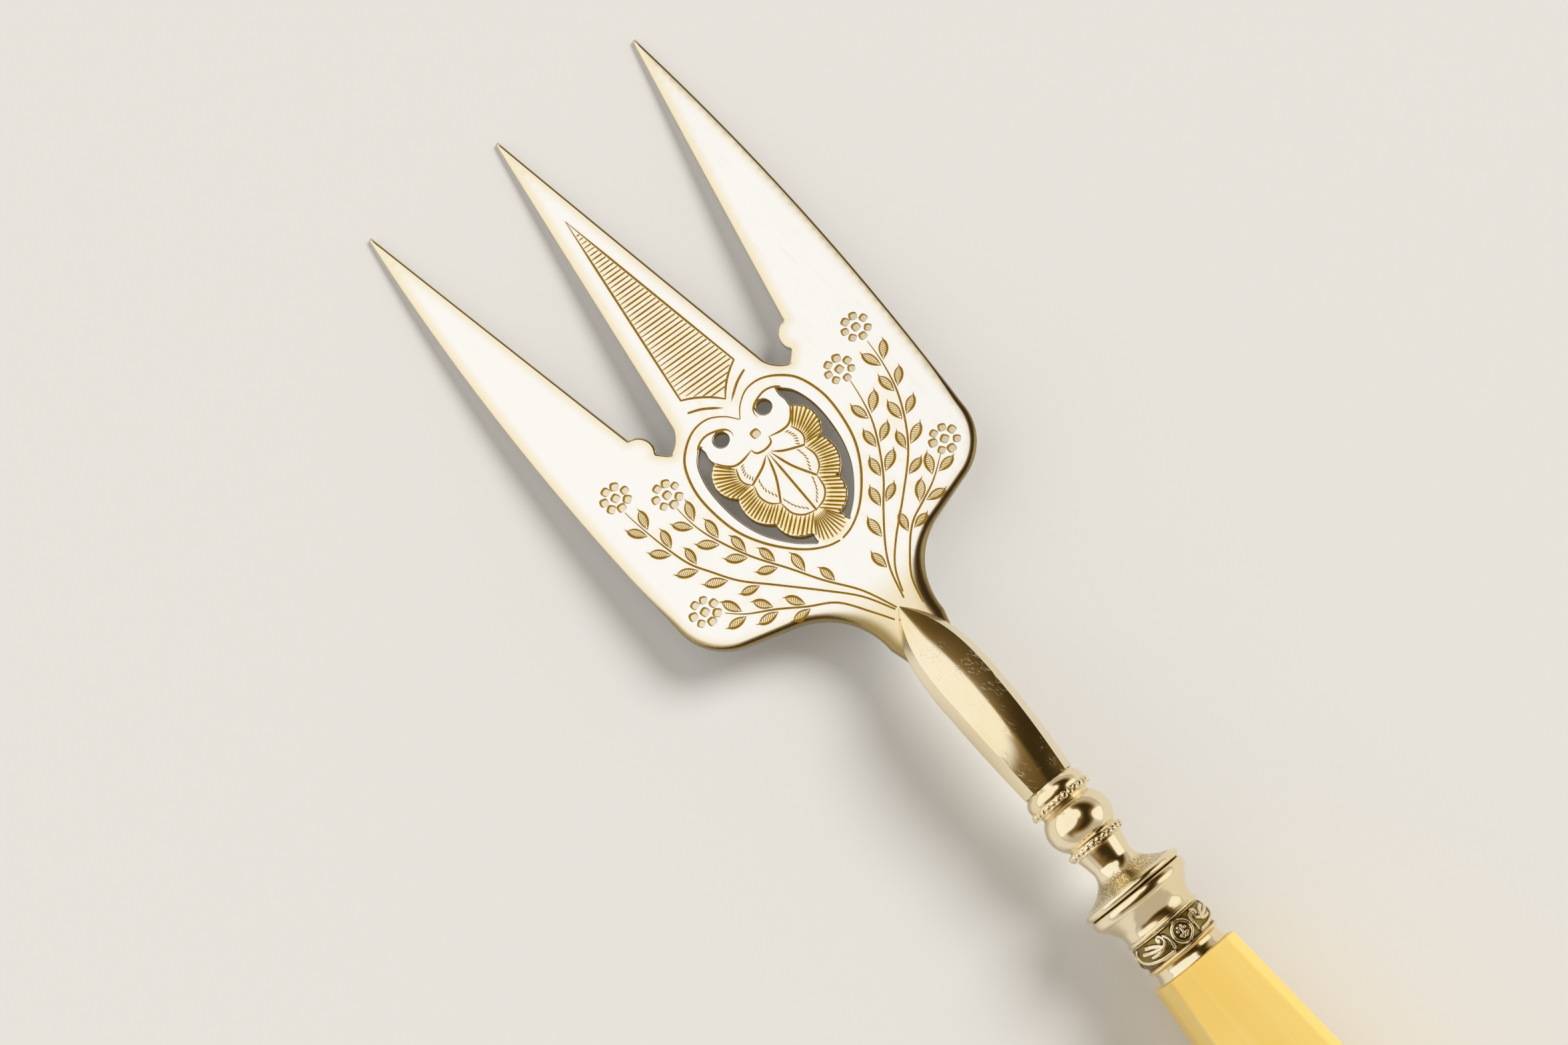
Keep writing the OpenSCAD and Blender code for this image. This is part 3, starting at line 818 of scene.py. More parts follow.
def hex_grid(step):
    """Points in a honeycomb over the whole sheet, with none in the openings."""
    us = np.arange(BEHIND_THROAT, HEAD_LEN, step * 0.866)
    ys = np.arange(-HEAD_W / 2, HEAD_W / 2, step)
    grid = np.array([(u, y + (step / 2 if i % 2 else 0)) for i, u in enumerate(us) for y in ys])
    return grid[inside(grid, outline) & ~np.any([inside(grid, o) for o in openings], axis=0)]


edge_rows = sieve(edge_rows, fixed[rim_count:], 0.12)
grid = sieve(hex_grid(FACE_STEP), np.vstack([fixed, edge_rows]), 0.4)
back_rows = inward(outline, np.full(len(outline), BACK_ROW), False)
back_rows = back_rows[inside(back_rows, outline) & (distance_to(back_rows, outline) > 0.33)]
back_grid = sieve(hex_grid(BACK_STEP), np.vstack([fixed[:rim_count], back_rows]), 0.6)
print("free points on the face:", len(edge_rows) + len(grid), "on the back:", len(back_rows) + len(back_grid))

# %% Triangles of face and back
SLIVER, NEAR = 2e-5, 1e-6


def triangulate(points, edges):
    """Triangles inside the outline and outside the openings, with every given edge kept. A sliver between
    points that lie straight along a rim is outside, although rounding may say otherwise."""
    verts, _, faces, origins, _, _ = geometry.delaunay_2d_cdt(
        [Vector(p) for p in points], edges, [], 0, NEAR, True)
    verts = np.array([v[:] for v in verts])
    faces = np.array(faces)
    centre = verts[faces].mean(axis=1)
    good = inside(centre, outline)
    for opening in openings:
        good &= ~inside(centre, opening)
    place = {}
    for new, olds in enumerate(origins):
        for old in olds:
            place[old] = new
    on_rim = np.zeros(len(verts), bool)
    on_rim[[place[k] for k in range(rim_count)]] = True
    a, b, c = verts[faces[:, 0]], verts[faces[:, 1]], verts[faces[:, 2]]
    area = (b[:, 0] - a[:, 0]) * (c[:, 1] - a[:, 1]) - (b[:, 1] - a[:, 1]) * (c[:, 0] - a[:, 0])
    good &= ~(on_rim[faces].all(axis=1) & (np.abs(area) < SLIVER))
    faces = faces[good]
    faces[area[good] < 0] = faces[area[good] < 0][:, ::-1]
    return verts, faces, place


face_uv, face_tris, face_place = triangulate(np.vstack([fixed, edge_rows, grid]), edges)
back_uv, back_tris, back_place = triangulate(np.vstack([fixed[:rim_count], back_rows, back_grid]), rim_edges)
print("engraved face:", len(face_tris), "triangles; back:", len(back_tris))

# %% Heights of face and back
def rolled(away, width, depth):
    """How far a quarter-round edge has dropped at a distance from the rim."""
    t = np.clip(1 - away / width, 0, 1)
    return depth * (1 - np.sqrt(np.maximum(0, 1 - t * t)))


def edge_drop(uv, width, depth, hole_w, hole_d):
    """The drop at each point, from the outline and from the openings, and its distance to the outline."""
    away = distance_to(uv, outline)
    drop = rolled(away, width, depth)
    for opening in openings:
        drop = np.maximum(drop, rolled(distance_to(uv, opening), hole_w, hole_d))
    return drop, away


u = face_uv[:, 0]
drop, away = edge_drop(face_uv, roll_width(u), roll_depth(u), HOLE_ROLL_W, HOLE_ROLL_D)
graved, pitted = cut_depth(face_uv), pit_levels(face_uv)
# Points of a triangle whose middle is untouched lie on the rim of a furrow, so rounding can't sink them
middles = face_uv[face_tris].mean(axis=1)
untouched = np.unique(face_tris[(cut_depth(middles) == 0) & (pit_levels(middles) == 0)])
graved[untouched], pitted[untouched] = 0, 0
depth = np.maximum(graved, PIT_DEEP * pitted)
back_u = back_uv[:, 0]
back_roll = np.minimum(0.25, 0.25 * (top_z(back_u) - back_z(back_u)))
back_drop, _ = edge_drop(back_uv, 0.3, back_roll, 0.1, 0.08)
head_points = np.vstack([
    np.column_stack([KEEL_X + face_uv[:, 0], face_uv[:, 1], top_z(u) - drop - depth]),
    np.column_stack([KEEL_X + back_u, back_uv[:, 1], back_z(back_u) + back_drop])])
print(f"deepest engraving {depth.max():.3f} mm")

# %% Wall between face and back
FURROW_DEEP = 0.012
face_n = len(face_uv)
wall = [(face_place[a], face_place[b], back_place[b] + face_n, back_place[a] + face_n) for a, b in rim_edges]
walls = []
for k, loop in enumerate(loops):
    start = len(walls)
    part = wall[start:start + len(loop)]
    wrong_way = (signed_area(loop) > 0) == (k == 0)
    walls += [quad[::-1] for quad in part] if wrong_way else part
head_faces = [tuple(t) for t in face_tris] + [tuple(t[::-1] + face_n) for t in back_tris] + walls
hole_walls = len(face_tris) + len(back_tris) + np.arange(len(outline), rim_count)
furrows = np.append(np.flatnonzero(depth[face_tris].max(axis=1) > FURROW_DEEP), hole_walls)
print("faces of the head:", len(head_faces), "of them kept flat:", len(furrows))

# %% Marks that guide the tarnish and the painted shade
HALO_REACH, EDGE_SHADE_REACH, THROAT_SHADE_REACH, THROAT_SHADE_END = 0.8, 2.4, 3, 9
cut_mark = np.maximum(graved / 0.1, 1 - np.abs(2 * pitted - 1))
cut_mark[[face_place[k] for k in range(len(outline), rim_count)]] = 1
graved_points = planted(fixed[rim_count:rim_count + len(halos)])
nearest = [graved_points.find((x, y, 0))[1:] for x, y in face_uv]
on_face = {
    "cut": cut_mark,
    "halo": np.array([halos[k] * max(0, 1 - gap / HALO_REACH) for k, gap in nearest]),
    # painted shade: a straw fall-off of the reflection over the last millimetres before the outline, and over
    # the throat
    "rim": np.maximum(1 - smooth(away / EDGE_SHADE_REACH), 0.9 * smooth((8 - u) / 8)),
    # painted shade: brassy darkening over the curved throat beside the neck, strongest near its edges
    "throat": smooth((THROAT_SHADE_END - u) / 10) * (0.35 + 0.65 * (1 - smooth(away / THROAT_SHADE_REACH))),
    "pit": pitted,
    # painted shade: olive over the rolled edge where it turns away, strong at the throat and shoulders, faint
    # along the tines
    "roll": np.clip(1 - away / roll_width(u), 0, 1) * (0.3 + 0.7 * smooth((26 - u) / 12))}
marks = {name: np.concatenate([values, np.zeros(len(back_uv))]) for name, values in on_face.items()}
print("marks on the head:", ", ".join(marks))

# %% [markdown]
# ## Silver plate
# Plate that has been polished for a century is warm white where it is flat, yellow-brown in every furrow,
# and covered in fine hair scratches. On the head, shade is painted in as well: olive over the rolled edges,
# straw towards the outline and brass over the throat, where the curving sheet turns its reflection dark. One
# function makes that finish, and each piece says which of its stored marks hold the old tarnish and the
# painted shade.

# %% Plated metal
CLEAN, YELLOWED = (0.97, 0.96, 0.94), (0.95, 0.89, 0.76)
GILDED, AGED = (0.97, 0.92, 0.79), (0.92, 0.76, 0.44)
# The olive, straw and brass tints are painted shade for the head's rolled edges, outline and throat.
GOLDEN, PEACH, OLIVE_EDGE_SHADE, DEEP = (0.38, 0.22, 0.015), (0.97, 0.86, 0.64), (0.34, 0.25, 0.10), (0.26, 0.18, 0.05)
STRAW_EDGE_SHADE, BRASSY_THROAT_SHADE, HAZE, WORN = (0.92, 0.80, 0.52), (0.60, 0.43, 0.16), (0.96, 0.80, 0.42), (0.52, 0.40, 0.18)


def plated(name, tarnish_and_shade=(), tones=(CLEAN, YELLOWED), warmth=0.3, scars=0.0,
           scratch_turn=(0, 0, 0), worn_scale=0.0):
    """The list of stored marks holds, for each: its name, the levels where its tint starts and is full, the
    tint's colour, what it adds to the roughness and how much it hides the metal. The tints are tarnish and
    wear, and on the engraved head also painted shade."""
    f = material(name)
    cloud = f.noise(70.0, 3.0)
    hair = f.noise(1400.0, 2.0, stretch=(0.05, 1, 1), turn=scratch_turn)
    grit = f.noise(2600.0, 3.0)
    colour = f.mix((cloud * warmth + hair.between(0.55, 0.8) * 0.15).clamp(), *tones)
    rough = 0.06 + hair * 0.07 + cloud * 0.04
    metal = 1.0
    for mark, low, high, tint, rougher, film in tarnish_and_shade:
        level = f.mark(mark)
        if worn_scale:
            level = level * f.noise(worn_scale, 4.0).between(0.35, 0.55) * 1.2
        amount = level.between(low, high)
        colour = f.mix(amount * (0.75 + grit * 0.5).clamp(), colour, tint)
        rough = rough + amount * rougher
        metal = 1.0 - (amount * film) if film else metal
    height = hair * 0.5 + grit * 0.3
    if scars:
        patches = f.noise(260.0, 2.0).between(0.48, 0.62)
        for turn in (0.5, 0.15, 0.75):
            nick = f.noise(6500.0, 1.0, stretch=(0.07, 1, 1), turn=(0, 0, turn)).between(0.66, 0.73)
            height = height - nick * patches * scars
            rough = rough + nick * patches * 0.2
    bump = f.node("ShaderNodeBump", {}, {"Height": height, "Strength": 0.1, "Distance": 0.00002})
    f.surface({"Base Color": colour, "Metallic": metal, "Roughness": rough.clamp(),
               "Specular IOR Level": 0.1, "Normal": bump})
    return f


# %% The engraved head in its plate
head_plate = plated("engraved_plate", warmth=0.15, tarnish_and_shade=[
    # painted shade: straw fall-off towards the outline and over the throat
    ("rim", 0.1, 1.3, STRAW_EDGE_SHADE, 0.05, 0),
    # painted shade: brass over the throat
    ("throat", 0.1, 1.2, BRASSY_THROAT_SHADE, 0.05, 0),
    ("halo", 0.2, 1.4, HAZE, 0.0, 0),
    # painted shade: olive over the rolled edges
    ("roll", 0.05, 0.75, OLIVE_EDGE_SHADE, 0.08, 0),
    ("pit", 0.3, 0.9, PEACH, 0.2, 0.4),
    ("cut", 0.0, 0.12, GOLDEN, 0.3, 0.8)])
head = build("engraved_head", head_points, head_faces, head_plate, marks, crease=0, flat=furrows)
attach(head, "root")

# %% [markdown]
# ## Neck and tang
# The neck is forged as a tapering bar: a flat top face with a low ridge along it, sloping sides, and an
# arch that climbs from the bolster and comes down to a point on the head. Rings of points are skinned into
# one surface. Each corner below the top is three points close together, which keeps the edges soft, and the
# top is a row of fifteen points that rises to the ridge.


# %% Rings with softened corners
def soft_ring(corners, radius, n=3):
    """A closed polygon whose corners are cut by short curves."""
    c = np.asarray(corners, float)
    made = []
    for before, here, after in zip(np.roll(c, 1, axis=0), c, np.roll(c, -1, axis=0)):
        a, b = before - here, after - here
        la, lb = np.linalg.norm(a), np.linalg.norm(b)
        a, b = here + a / la * min(radius, la * 0.4), here + b / lb * min(radius, lb * 0.4)
        for t in np.linspace(0, 1, n):
            made.append((1 - t) ** 2 * a + 2 * t * (1 - t) * here + t * t * b)
    return np.array(made)


def skin(rings, closed_ends=True):
    """Faces over rings of the same number of points, with a fan over each end."""
    n, m = len(rings), len(rings[0])
    points = np.vstack(rings)
    faces = [(j * m + i, (j + 1) * m + i, (j + 1) * m + (i + 1) % m, j * m + (i + 1) % m)
             for j in range(n - 1) for i in range(m)]
    if closed_ends:
        points = np.vstack([points, rings[0].mean(axis=0), rings[-1].mean(axis=0)])
        faces += [(n * m, i, (i + 1) % m) for i in range(m)]
        faces += [(n * m + 1, (n - 1) * m + (i + 1) % m, (n - 1) * m + i) for i in range(m)]
    return points, faces


def outwards(points, faces):
    """The same faces, turned round if the closed shape has a negative volume."""
    p = np.asarray(points, float)
    volume = sum(np.dot(p[face[0]], np.cross(p[face[k]], p[face[k + 1]]))
                 for face in faces for k in range(1, len(face) - 1))
    return faces if volume > 0 else [tuple(face[::-1]) for face in faces]


def join(*shells):
    """Several closed shells as one list of points and faces."""
    points, faces, count = [], [], 0
    for p, f in shells:
        points.append(np.asarray(p, float))
        faces += [tuple(i + count for i in face) for face in outwards(p, f)]
        count += len(p)
    return np.vstack(points), faces


# %% The neck, with its tang
FACE_W, FACE_END_W, SIDE_SLOPE_W, NECK_H, ARCH_RISE, RIDGE_H = 6.3, 4.9, 1.15, 5.4, 2.6, 0.4
POINT_T, POINT_HALF, NECK_SOFT, TANG_R, TANG_LEN = 1.5, 0.06, 0.16, 1.7, 46.0
NECK_Z = AXIS_Z + NECK_X * math.sin(HANDLE_SLOPE)
KEEL_Z = float(top_z(0))


def face_half(v):
    """Half the width of the neck's flat top face, with v from 0 at the bolster to 1 at its point."""
    if v < 0.5:
        return (FACE_END_W + (FACE_W - FACE_END_W) * math.sin(math.pi * v)) / 2
    return FACE_W / 2 * (1 - ((v - 0.5) / 0.5) ** 3) + POINT_HALF


def neck_ring(v):
    """One section of the neck: sloping sides below, and a crowned row of points across the top."""
    top = (NECK_Z + NECK_H / 2) * (1 - v) + KEEL_Z * v + ARCH_RISE * 4 * v * (1 - v) * (1 - 0.35 * v)
    low = (NECK_Z - NECK_H / 2) * (1 - v) + (KEEL_Z - POINT_T) * v
    high, face = top - low, face_half(v)
    side = face + SIDE_SLOPE_W * (1 - 0.35 * v**3)
    half = [(face, top), (side, top - 0.4 * high), (side * 0.9, low + 0.22 * high), (side * 0.45, low)]
    below = soft_ring(half + [(-y, z) for y, z in half[::-1]], NECK_SOFT)[2:-2]
    across = np.linspace(-1, 1, 15) * face
    crown = np.column_stack([across, top + RIDGE_H * (1 - v**4) * (1 - (np.abs(across) / face) ** 1.3)])
    ring = np.vstack([crown, below])
    return np.column_stack([np.full(len(ring), NECK_X + v * NECK_LEN), ring])


def lathe(profile, n=96):
    """A turned shape on the handle's axis; profile points are distance along it and radius."""
    rings = []
    for x, r in profile:
        t = np.arange(n) * 2 * math.pi / n
        rings.append(on_axis(np.column_stack([np.full(n, x), r * np.cos(t), r * np.sin(t)])))
    return skin(rings)


neck_shell = skin([neck_ring(v) for v in np.linspace(0.0, 1.0, 70)])
tang_shell = lathe([(-TANG_LEN, TANG_R * 0.8), (-TANG_LEN + 1, TANG_R), (NECK_X + 1.5, TANG_R)], 32)
neck_points, neck_faces = join(neck_shell, tang_shell)
neck_plate = plated("neck_plate", tones=(GILDED, AGED), warmth=1.2, scars=5.0)
neck = build("neck", neck_points, neck_faces, neck_plate, crease=24)
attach(neck, "root")
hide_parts("fork_head")
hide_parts("fork_head")

# %% [markdown]
# ## Recipes for what repeats
# The nuggets round a milled ring repeat one small shape along a circle, which is what Geometry Nodes do
# best. A recipe is a node tree with named inputs. It is run once on an empty object, its result is kept as
# a plain mesh, and the modifier goes.


# %% A geometry recipe
class Recipe:
    """A Geometry Nodes tree with named inputs, run once and kept as a mesh."""

    def __init__(self, name, inputs):
        self.tree = bpy.data.node_groups.new(name, "GeometryNodeTree")
        self.tree.interface.new_socket("Geometry", in_out="OUTPUT", socket_type="NodeSocketGeometry")
        self.keys = {label: self.tree.interface.new_socket(label, in_out="INPUT", socket_type=kind).identifier
                     for label, kind in inputs.items()}
        self.given = self.tree.nodes.new("NodeGroupInput").outputs
        self.result = self.tree.nodes.new("NodeGroupOutput").inputs[0]

    def node(self, kind, settings=None, sockets=None, out=0):
        """A node with its settings and its inputs, each of them a value or another node's output."""
        made = self.tree.nodes.new(kind)
        for name, value in (settings or {}).items():
            setattr(made, name, value)
        for name, value in (sockets or {}).items():
            if isinstance(value, bpy.types.NodeSocket):
                self.tree.links.new(value, made.inputs[name])
            else:
                made.inputs[name].default_value = value
        return made.outputs[out]

    def finish(self, geometry, finish_input):
        """Makes the copies real, gives them their finish and hands them out."""
        real = self.node("GeometryNodeRealizeInstances", {}, {0: geometry})
        finished = self.node("GeometryNodeSetMaterial", {}, {0: real, "Material": finish_input})
        self.tree.links.new(finished, self.result)

    def run(self, name, values):
        """Runs the recipe with these values and keeps the result as an object's mesh."""
        obj = bpy.data.objects.new(name, bpy.data.meshes.new(name))
        bpy.context.scene.collection.objects.link(obj)
        modifier = obj.modifiers.new("recipe", "NODES")
        modifier.node_group = self.tree
        for label, value in values.items():
            modifier[self.keys[label]] = value
        graph = bpy.context.evaluated_depsgraph_get()
        mesh = bpy.data.meshes.new_from_object(obj.evaluated_get(graph), depsgraph=graph)
        obj.modifiers.remove(modifier)
        obj.data = mesh
        print(f"{name}: {len(mesh.vertices)} points from its recipe")
        return obj


# %% The recipe for a milled ring
SWAY = (0.35, 0.2, 0.2)
milled = Recipe("milled_ring", {
    "Ring Radius": "NodeSocketFloat", "Bead Radius": "NodeSocketFloat", "Beads": "NodeSocketInt",
    "Least": "NodeSocketVector", "Most": "NodeSocketVector",
    "Place": "NodeSocketVector", "Tilt": "NodeSocketVector", "Turn": "NodeSocketFloat",
    "Seed": "NodeSocketInt", "Finish": "NodeSocketMaterial"})
given, make = milled.given, milled.node
circle = make("GeometryNodeMeshCircle", {}, {"Vertices": given["Beads"], "Radius": given["Ring Radius"]})
where = make("GeometryNodeInputPosition")
outward = make("FunctionNodeAlignEulerToVector", {"axis": "X"}, {"Vector": where})
bead = make("GeometryNodeMeshIcoSphere", {}, {"Radius": given["Bead Radius"], "Subdivisions": 2})
size = make("FunctionNodeRandomValue", {"data_type": "FLOAT_VECTOR"}, {
    0: given["Least"], 1: given["Most"], "Seed": given["Seed"]})
beads = make("GeometryNodeInstanceOnPoints", {}, {
    "Points": circle, "Instance": bead, "Scale": size, "Rotation": outward})
sway = make("FunctionNodeRandomValue", {"data_type": "FLOAT_VECTOR"}, {
    0: tuple(-angle for angle in SWAY), 1: SWAY, "Seed": given["Seed"]})
swayed = make("GeometryNodeRotateInstances", {}, {"Instances": beads, "Rotation": sway})
around = make("ShaderNodeCombineXYZ", {}, {2: given["Turn"]})
turned = make("GeometryNodeTransform", {}, {"Geometry": swayed, "Rotation": around})
upright = make("GeometryNodeTransform", {}, {"Geometry": turned, "Rotation": (0, math.pi / 2, 0)})
placed = make("GeometryNodeTransform", {}, {
    "Geometry": upright, "Translation": given["Place"], "Rotation": given["Tilt"]})
milled.finish(placed, given["Finish"])
print("steps in the ring's recipe:", len(milled.tree.nodes))


def ring_of_beads(name, x, r, count, turn_share, finish, seed):
    """Nuggets round the handle's axis at a distance x along it; all sizes in millimetres."""
    centre = to_row(on_axis([[x, 0, 0]]))[0]
    return milled.run(name, {
        "Ring Radius": r * MM, "Bead Radius": 1.08 * math.pi * r / count * MM, "Beads": count,
        "Least": (0.5, 0.9, 0.8), "Most": (0.66, 1.05, 1.0), "Place": centre.tolist(),
        "Tilt": (0.0, -HANDLE_SLOPE, 0.0), "Turn": turn_share * 2 * math.pi / count, "Seed": seed,
        "Finish": finish.owner})


# %% [markdown]
# ## Bolster
# The bolster is turned in one piece: a cup that takes the neck, a milled ring, a ball, a second ring, a
# slim stem and a trumpet flare that ends in a flange. The turning is a profile spun round the handle's
# axis. The rings' nuggets are uneven in size, as worn milling is.

# %% Bolster turning
CUP_R, RING_1_R, BALL_R, RING_2_R, STEM_R, FLANGE_R = 3.4, 4.05, 4.45, 3.7, 2.85, 7.0
TURN_STEPS = 128
ring_1_x, ball_x, ring_2_x = NECK_X - 2.3, NECK_X - 5.7, NECK_X - 8.9
stem_x = BOLSTER_X + 3.9
bolster_profile = np.vstack([
    [(NECK_X - 0.6, TANG_R), (NECK_X - 0.6, CUP_R - 0.35), (NECK_X - 0.1, CUP_R - 0.25), (NECK_X, CUP_R)],
    arc((NECK_X - 0.2, CUP_R + 0.15), (ring_1_x + 0.45, RING_1_R - 0.1), -0.25, 8),
    [(ring_1_x + 0.4, RING_1_R), (ring_1_x - 0.4, RING_1_R), (ring_1_x - 0.6, BALL_R - 1.0)],
    arc((ball_x + 2.5, BALL_R - 1.1), (ball_x - 2.5, BALL_R - 1.1), -1.1, 32),
    [(ring_2_x + 0.5, RING_2_R), (ring_2_x - 0.5, RING_2_R), (ring_2_x - 0.62, RING_2_R - 0.35)],
    spline([
        (ring_2_x - 0.9, RING_2_R - 0.45), (stem_x + 1.2, STEM_R + 0.1), (stem_x, STEM_R),
        (stem_x - 1.3, STEM_R + 0.75), (BOLSTER_X + 1.6, FLANGE_R - 1.9),
        (BOLSTER_X + 1, FLANGE_R - 0.3)], 10),
    arc((BOLSTER_X + 0.9, FLANGE_R - 0.12), (BOLSTER_X + 0.18, FLANGE_R - 0.2), -0.15, 8),
    [(BOLSTER_X, FLANGE_R - 0.6), (BOLSTER_X, TANG_R)]])
bolster_plate = plated("bolster_plate", tarnish_and_shade=[("worn", 0.35, 1.1, WORN, 0.2, 0)], tones=(GILDED, AGED),
                       warmth=1.3, scratch_turn=(0, 0, math.pi / 2), worn_scale=4800.0)
bolster_points, bolster_faces = lathe(bolster_profile, TURN_STEPS)
along = np.append(np.repeat(bolster_profile[:, 0], TURN_STEPS), [NECK_X, BOLSTER_X]) - BOLSTER_X
worn = smooth((along - 0.9) / 0.4) * smooth((3.9 - along) / 1.6)
bolster = build("bolster_turning", bolster_points, outwards(bolster_points, bolster_faces), bolster_plate,
                {"worn": worn}, crease=40)

# %% Milled rings of the bolster
NUGGETS_1, NUGGETS_2 = 28, 26
milled_rings = [ring_of_beads("milled_ring_1", ring_1_x, RING_1_R, NUGGETS_1, 0.2, bolster_plate, 3),
                ring_of_beads("milled_ring_2", ring_2_x, RING_2_R, NUGGETS_2, 0.0, bolster_plate, 5)]
for piece in (bolster, *milled_rings):
    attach(piece, "root")
    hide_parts("bolster")

# %% [markdown]
# ## Ferrule
# The ferrule is stamped from thin sheet and burnished over the handle: a rounded rim, a deep cove, a thin
# line, an embossed band and a second cove. The band's relief is a height over the unrolled strip, built
# from round-backed ridges, so the same short drawing is repeated round the ferrule.

# %% Relief of the embossed band
WAIST_R, RIM_R, BAND_R, FERRULE_END_R, FERRULE_T = 4.9, 6.85, 5.4, 4.95, 0.5
mouth_x = FERRULE_LEN - 1.6
BAND_MID, BAND_HALF, REPEATS, RELIEF = mouth_x - 5.45, 1.55, 2, 0.3
PITCH, FULLNESS = 2 * math.pi * BAND_R / REPEATS, 1.15
ridges = []


def ridge(points, width, height=1.0, mirror=True):
    """A round-backed ridge in the band's strip; t runs round the ferrule, a towards its rim."""
    line = even_steps(points, 0.2)
    ridges.append((line, width * FULLNESS / 2, height))
    if mirror:
        ridges.append((line * [-1, 1], width * FULLNESS / 2, height))


ridge(turn_arc((0, 0), 1.32, 0, 360, 40), 0.46, mirror=False)
ridge([(0, -0.35), (0, 0.4)], 0.4, mirror=False)
for a in np.radians([20, 62, -35, -70]):
    ridge([(0.62 * math.cos(a), 0.72 * math.sin(a)), (0.5 * math.cos(a), 0.6 * math.sin(a))], 0.42, 0.9)
ridge(spline([(2.0, -1.0), (1.85, -0.2), (2.0, 0.5), (2.25, 0.95)], 4), 0.4, 0.8)
ridge([(3.2, 0.82), (3.05, 0.72)], 0.6)
ridge(spline([(3.3, 1.1), (2.85, 1.25), (2.5, 0.85), (2.55, 0.3), (3.0, -0.05), (3.5, -0.1)], 5), 0.4)
ridge(spline([(3.3, 0.1), (4.2, 0.65), (5.3, 0.95)], 5), 0.52, 0.95)
ridge(spline([(3.6, -0.1), (4.7, 0.15), (6.2, 0.5)], 5), 0.5, 0.9)
ridge(spline([(3.4, -0.3), (4.2, -0.45), (5.2, -0.35)], 5), 0.46, 0.85)
ridge(spline([(2.4, -1.3), (4.3, -1.2), (6.3, -0.75), (7.5, -0.1), (7.95, 0.6), (7.6, 1.25)], 5), 0.5, 0.95)
print("ridges in one repeat:", len(ridges))


def relief(t, a):
    """Height of the band's ornament, 0 in the ground and 1 on the ridges."""
    t = (t + PITCH / 2) % PITCH - PITCH / 2
    spots = np.column_stack([t, a])
    height = np.zeros(len(spots))
    for line, half, top in ridges:
        low, high = line.min(axis=0) - half, line.max(axis=0) + half
        near = np.flatnonzero(np.all((spots > low) & (spots < high), axis=1))
        away = distance_to(spots[near], line, closed=False)
        height[near] = np.maximum(height[near], top * np.sqrt(np.maximum(0, 1 - (away / half) ** 2)))
    return height


# %% Profile of the ferrule
BAND_ROWS, AROUND = 44, 400
band_from, band_to = (mouth_x - 3.9, WAIST_R + 0.1), (mouth_x - 7, WAIST_R + 0.1)
band_line = arc(band_from, band_to, -(BAND_R - WAIST_R - 0.1), BAND_ROWS)
outer = np.vstack([
    [(FERRULE_LEN, RIM_R - 1.0), (FERRULE_LEN, RIM_R - 0.5)],
    arc((FERRULE_LEN - 0.2, RIM_R - 0.08), (mouth_x + 0.3, RIM_R - 0.1), -0.12, 8),
    spline([(mouth_x, RIM_R - 0.5), (mouth_x - 0.9, WAIST_R + 0.75), (mouth_x - 2, WAIST_R + 0.1),
            (mouth_x - 3, WAIST_R)], 8),
    spline([(mouth_x - 3.1, WAIST_R + 0.08), (mouth_x - 3.25, WAIST_R + 0.3), (mouth_x - 3.5, WAIST_R + 0.33),
            (mouth_x - 3.7, WAIST_R + 0.1), (mouth_x - 3.8, WAIST_R)], 3)])
lower = np.vstack([
    spline([(mouth_x - 7.06, WAIST_R), (mouth_x - 7.15, WAIST_R + 0.26), (mouth_x - 7.4, WAIST_R + 0.28),
            (mouth_x - 7.6, WAIST_R)], 3),
    spline([(mouth_x - 7.7, WAIST_R - 0.15), (mouth_x - 8.3, WAIST_R - 0.2), (0.15, FERRULE_END_R),
            (0, FERRULE_END_R - 0.1)], 6)])
inner = [(0, WAIST_R - FERRULE_T), (mouth_x - 1.6, WAIST_R - FERRULE_T), (mouth_x + 0.2, RIM_R - 0.8),
         (FERRULE_LEN - 0.05, RIM_R - 0.8)]
profile = np.vstack([outer, band_line, lower, inner])
print("rings of points in the ferrule:", len(profile))

# %% The ferrule and its band
MEDALLION_TURN, GROUND, BAND_EDGE = math.radians(90 + 7), 0.85, 0.15
angles = np.arange(AROUND) * 2 * math.pi / AROUND
ferrule_rings, hollow = [], []
for k, (x, r) in enumerate(profile):
    height = np.ones(AROUND)
    if len(outer) <= k < len(outer) + len(band_line):
        across = x - BAND_MID
        height = relief((angles - MEDALLION_TURN) * BAND_R, np.full(AROUND, across))
        r = r + RELIEF * (height - GROUND) * smooth((BAND_HALF - abs(across)) / BAND_EDGE)
    r = np.broadcast_to(r, AROUND)
    ring = np.column_stack([np.full(AROUND, x), r * np.cos(angles), r * np.sin(angles)])
    ferrule_rings.append(on_axis(ring))
    # the first two rings, the ferrule's end face against the bolster's flange, take the full dark tint, so
    # the seam is dark
    hollow.append(1 - height if k > 1 else np.ones(AROUND))
ferrule_points, ferrule_faces = skin(ferrule_rings, closed_ends=False)
last = (len(ferrule_rings) - 1) * AROUND
ferrule_faces += [(last + i, i, (i + 1) % AROUND, last + (i + 1) % AROUND) for i in range(AROUND)]
ferrule_plate = plated("ferrule_plate", tarnish_and_shade=[("hollow", 0.1, 0.8, DEEP, 0.15, 0)],
                       tones=(GILDED, AGED), warmth=1.3, scratch_turn=(0, 0, math.pi / 2))
ferrule = build("ferrule_stamping", ferrule_points, outwards(ferrule_points, ferrule_faces),
                ferrule_plate, {"hollow": np.concatenate(hollow)}, crease=45)
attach(ferrule, "root")
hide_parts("ferrule")

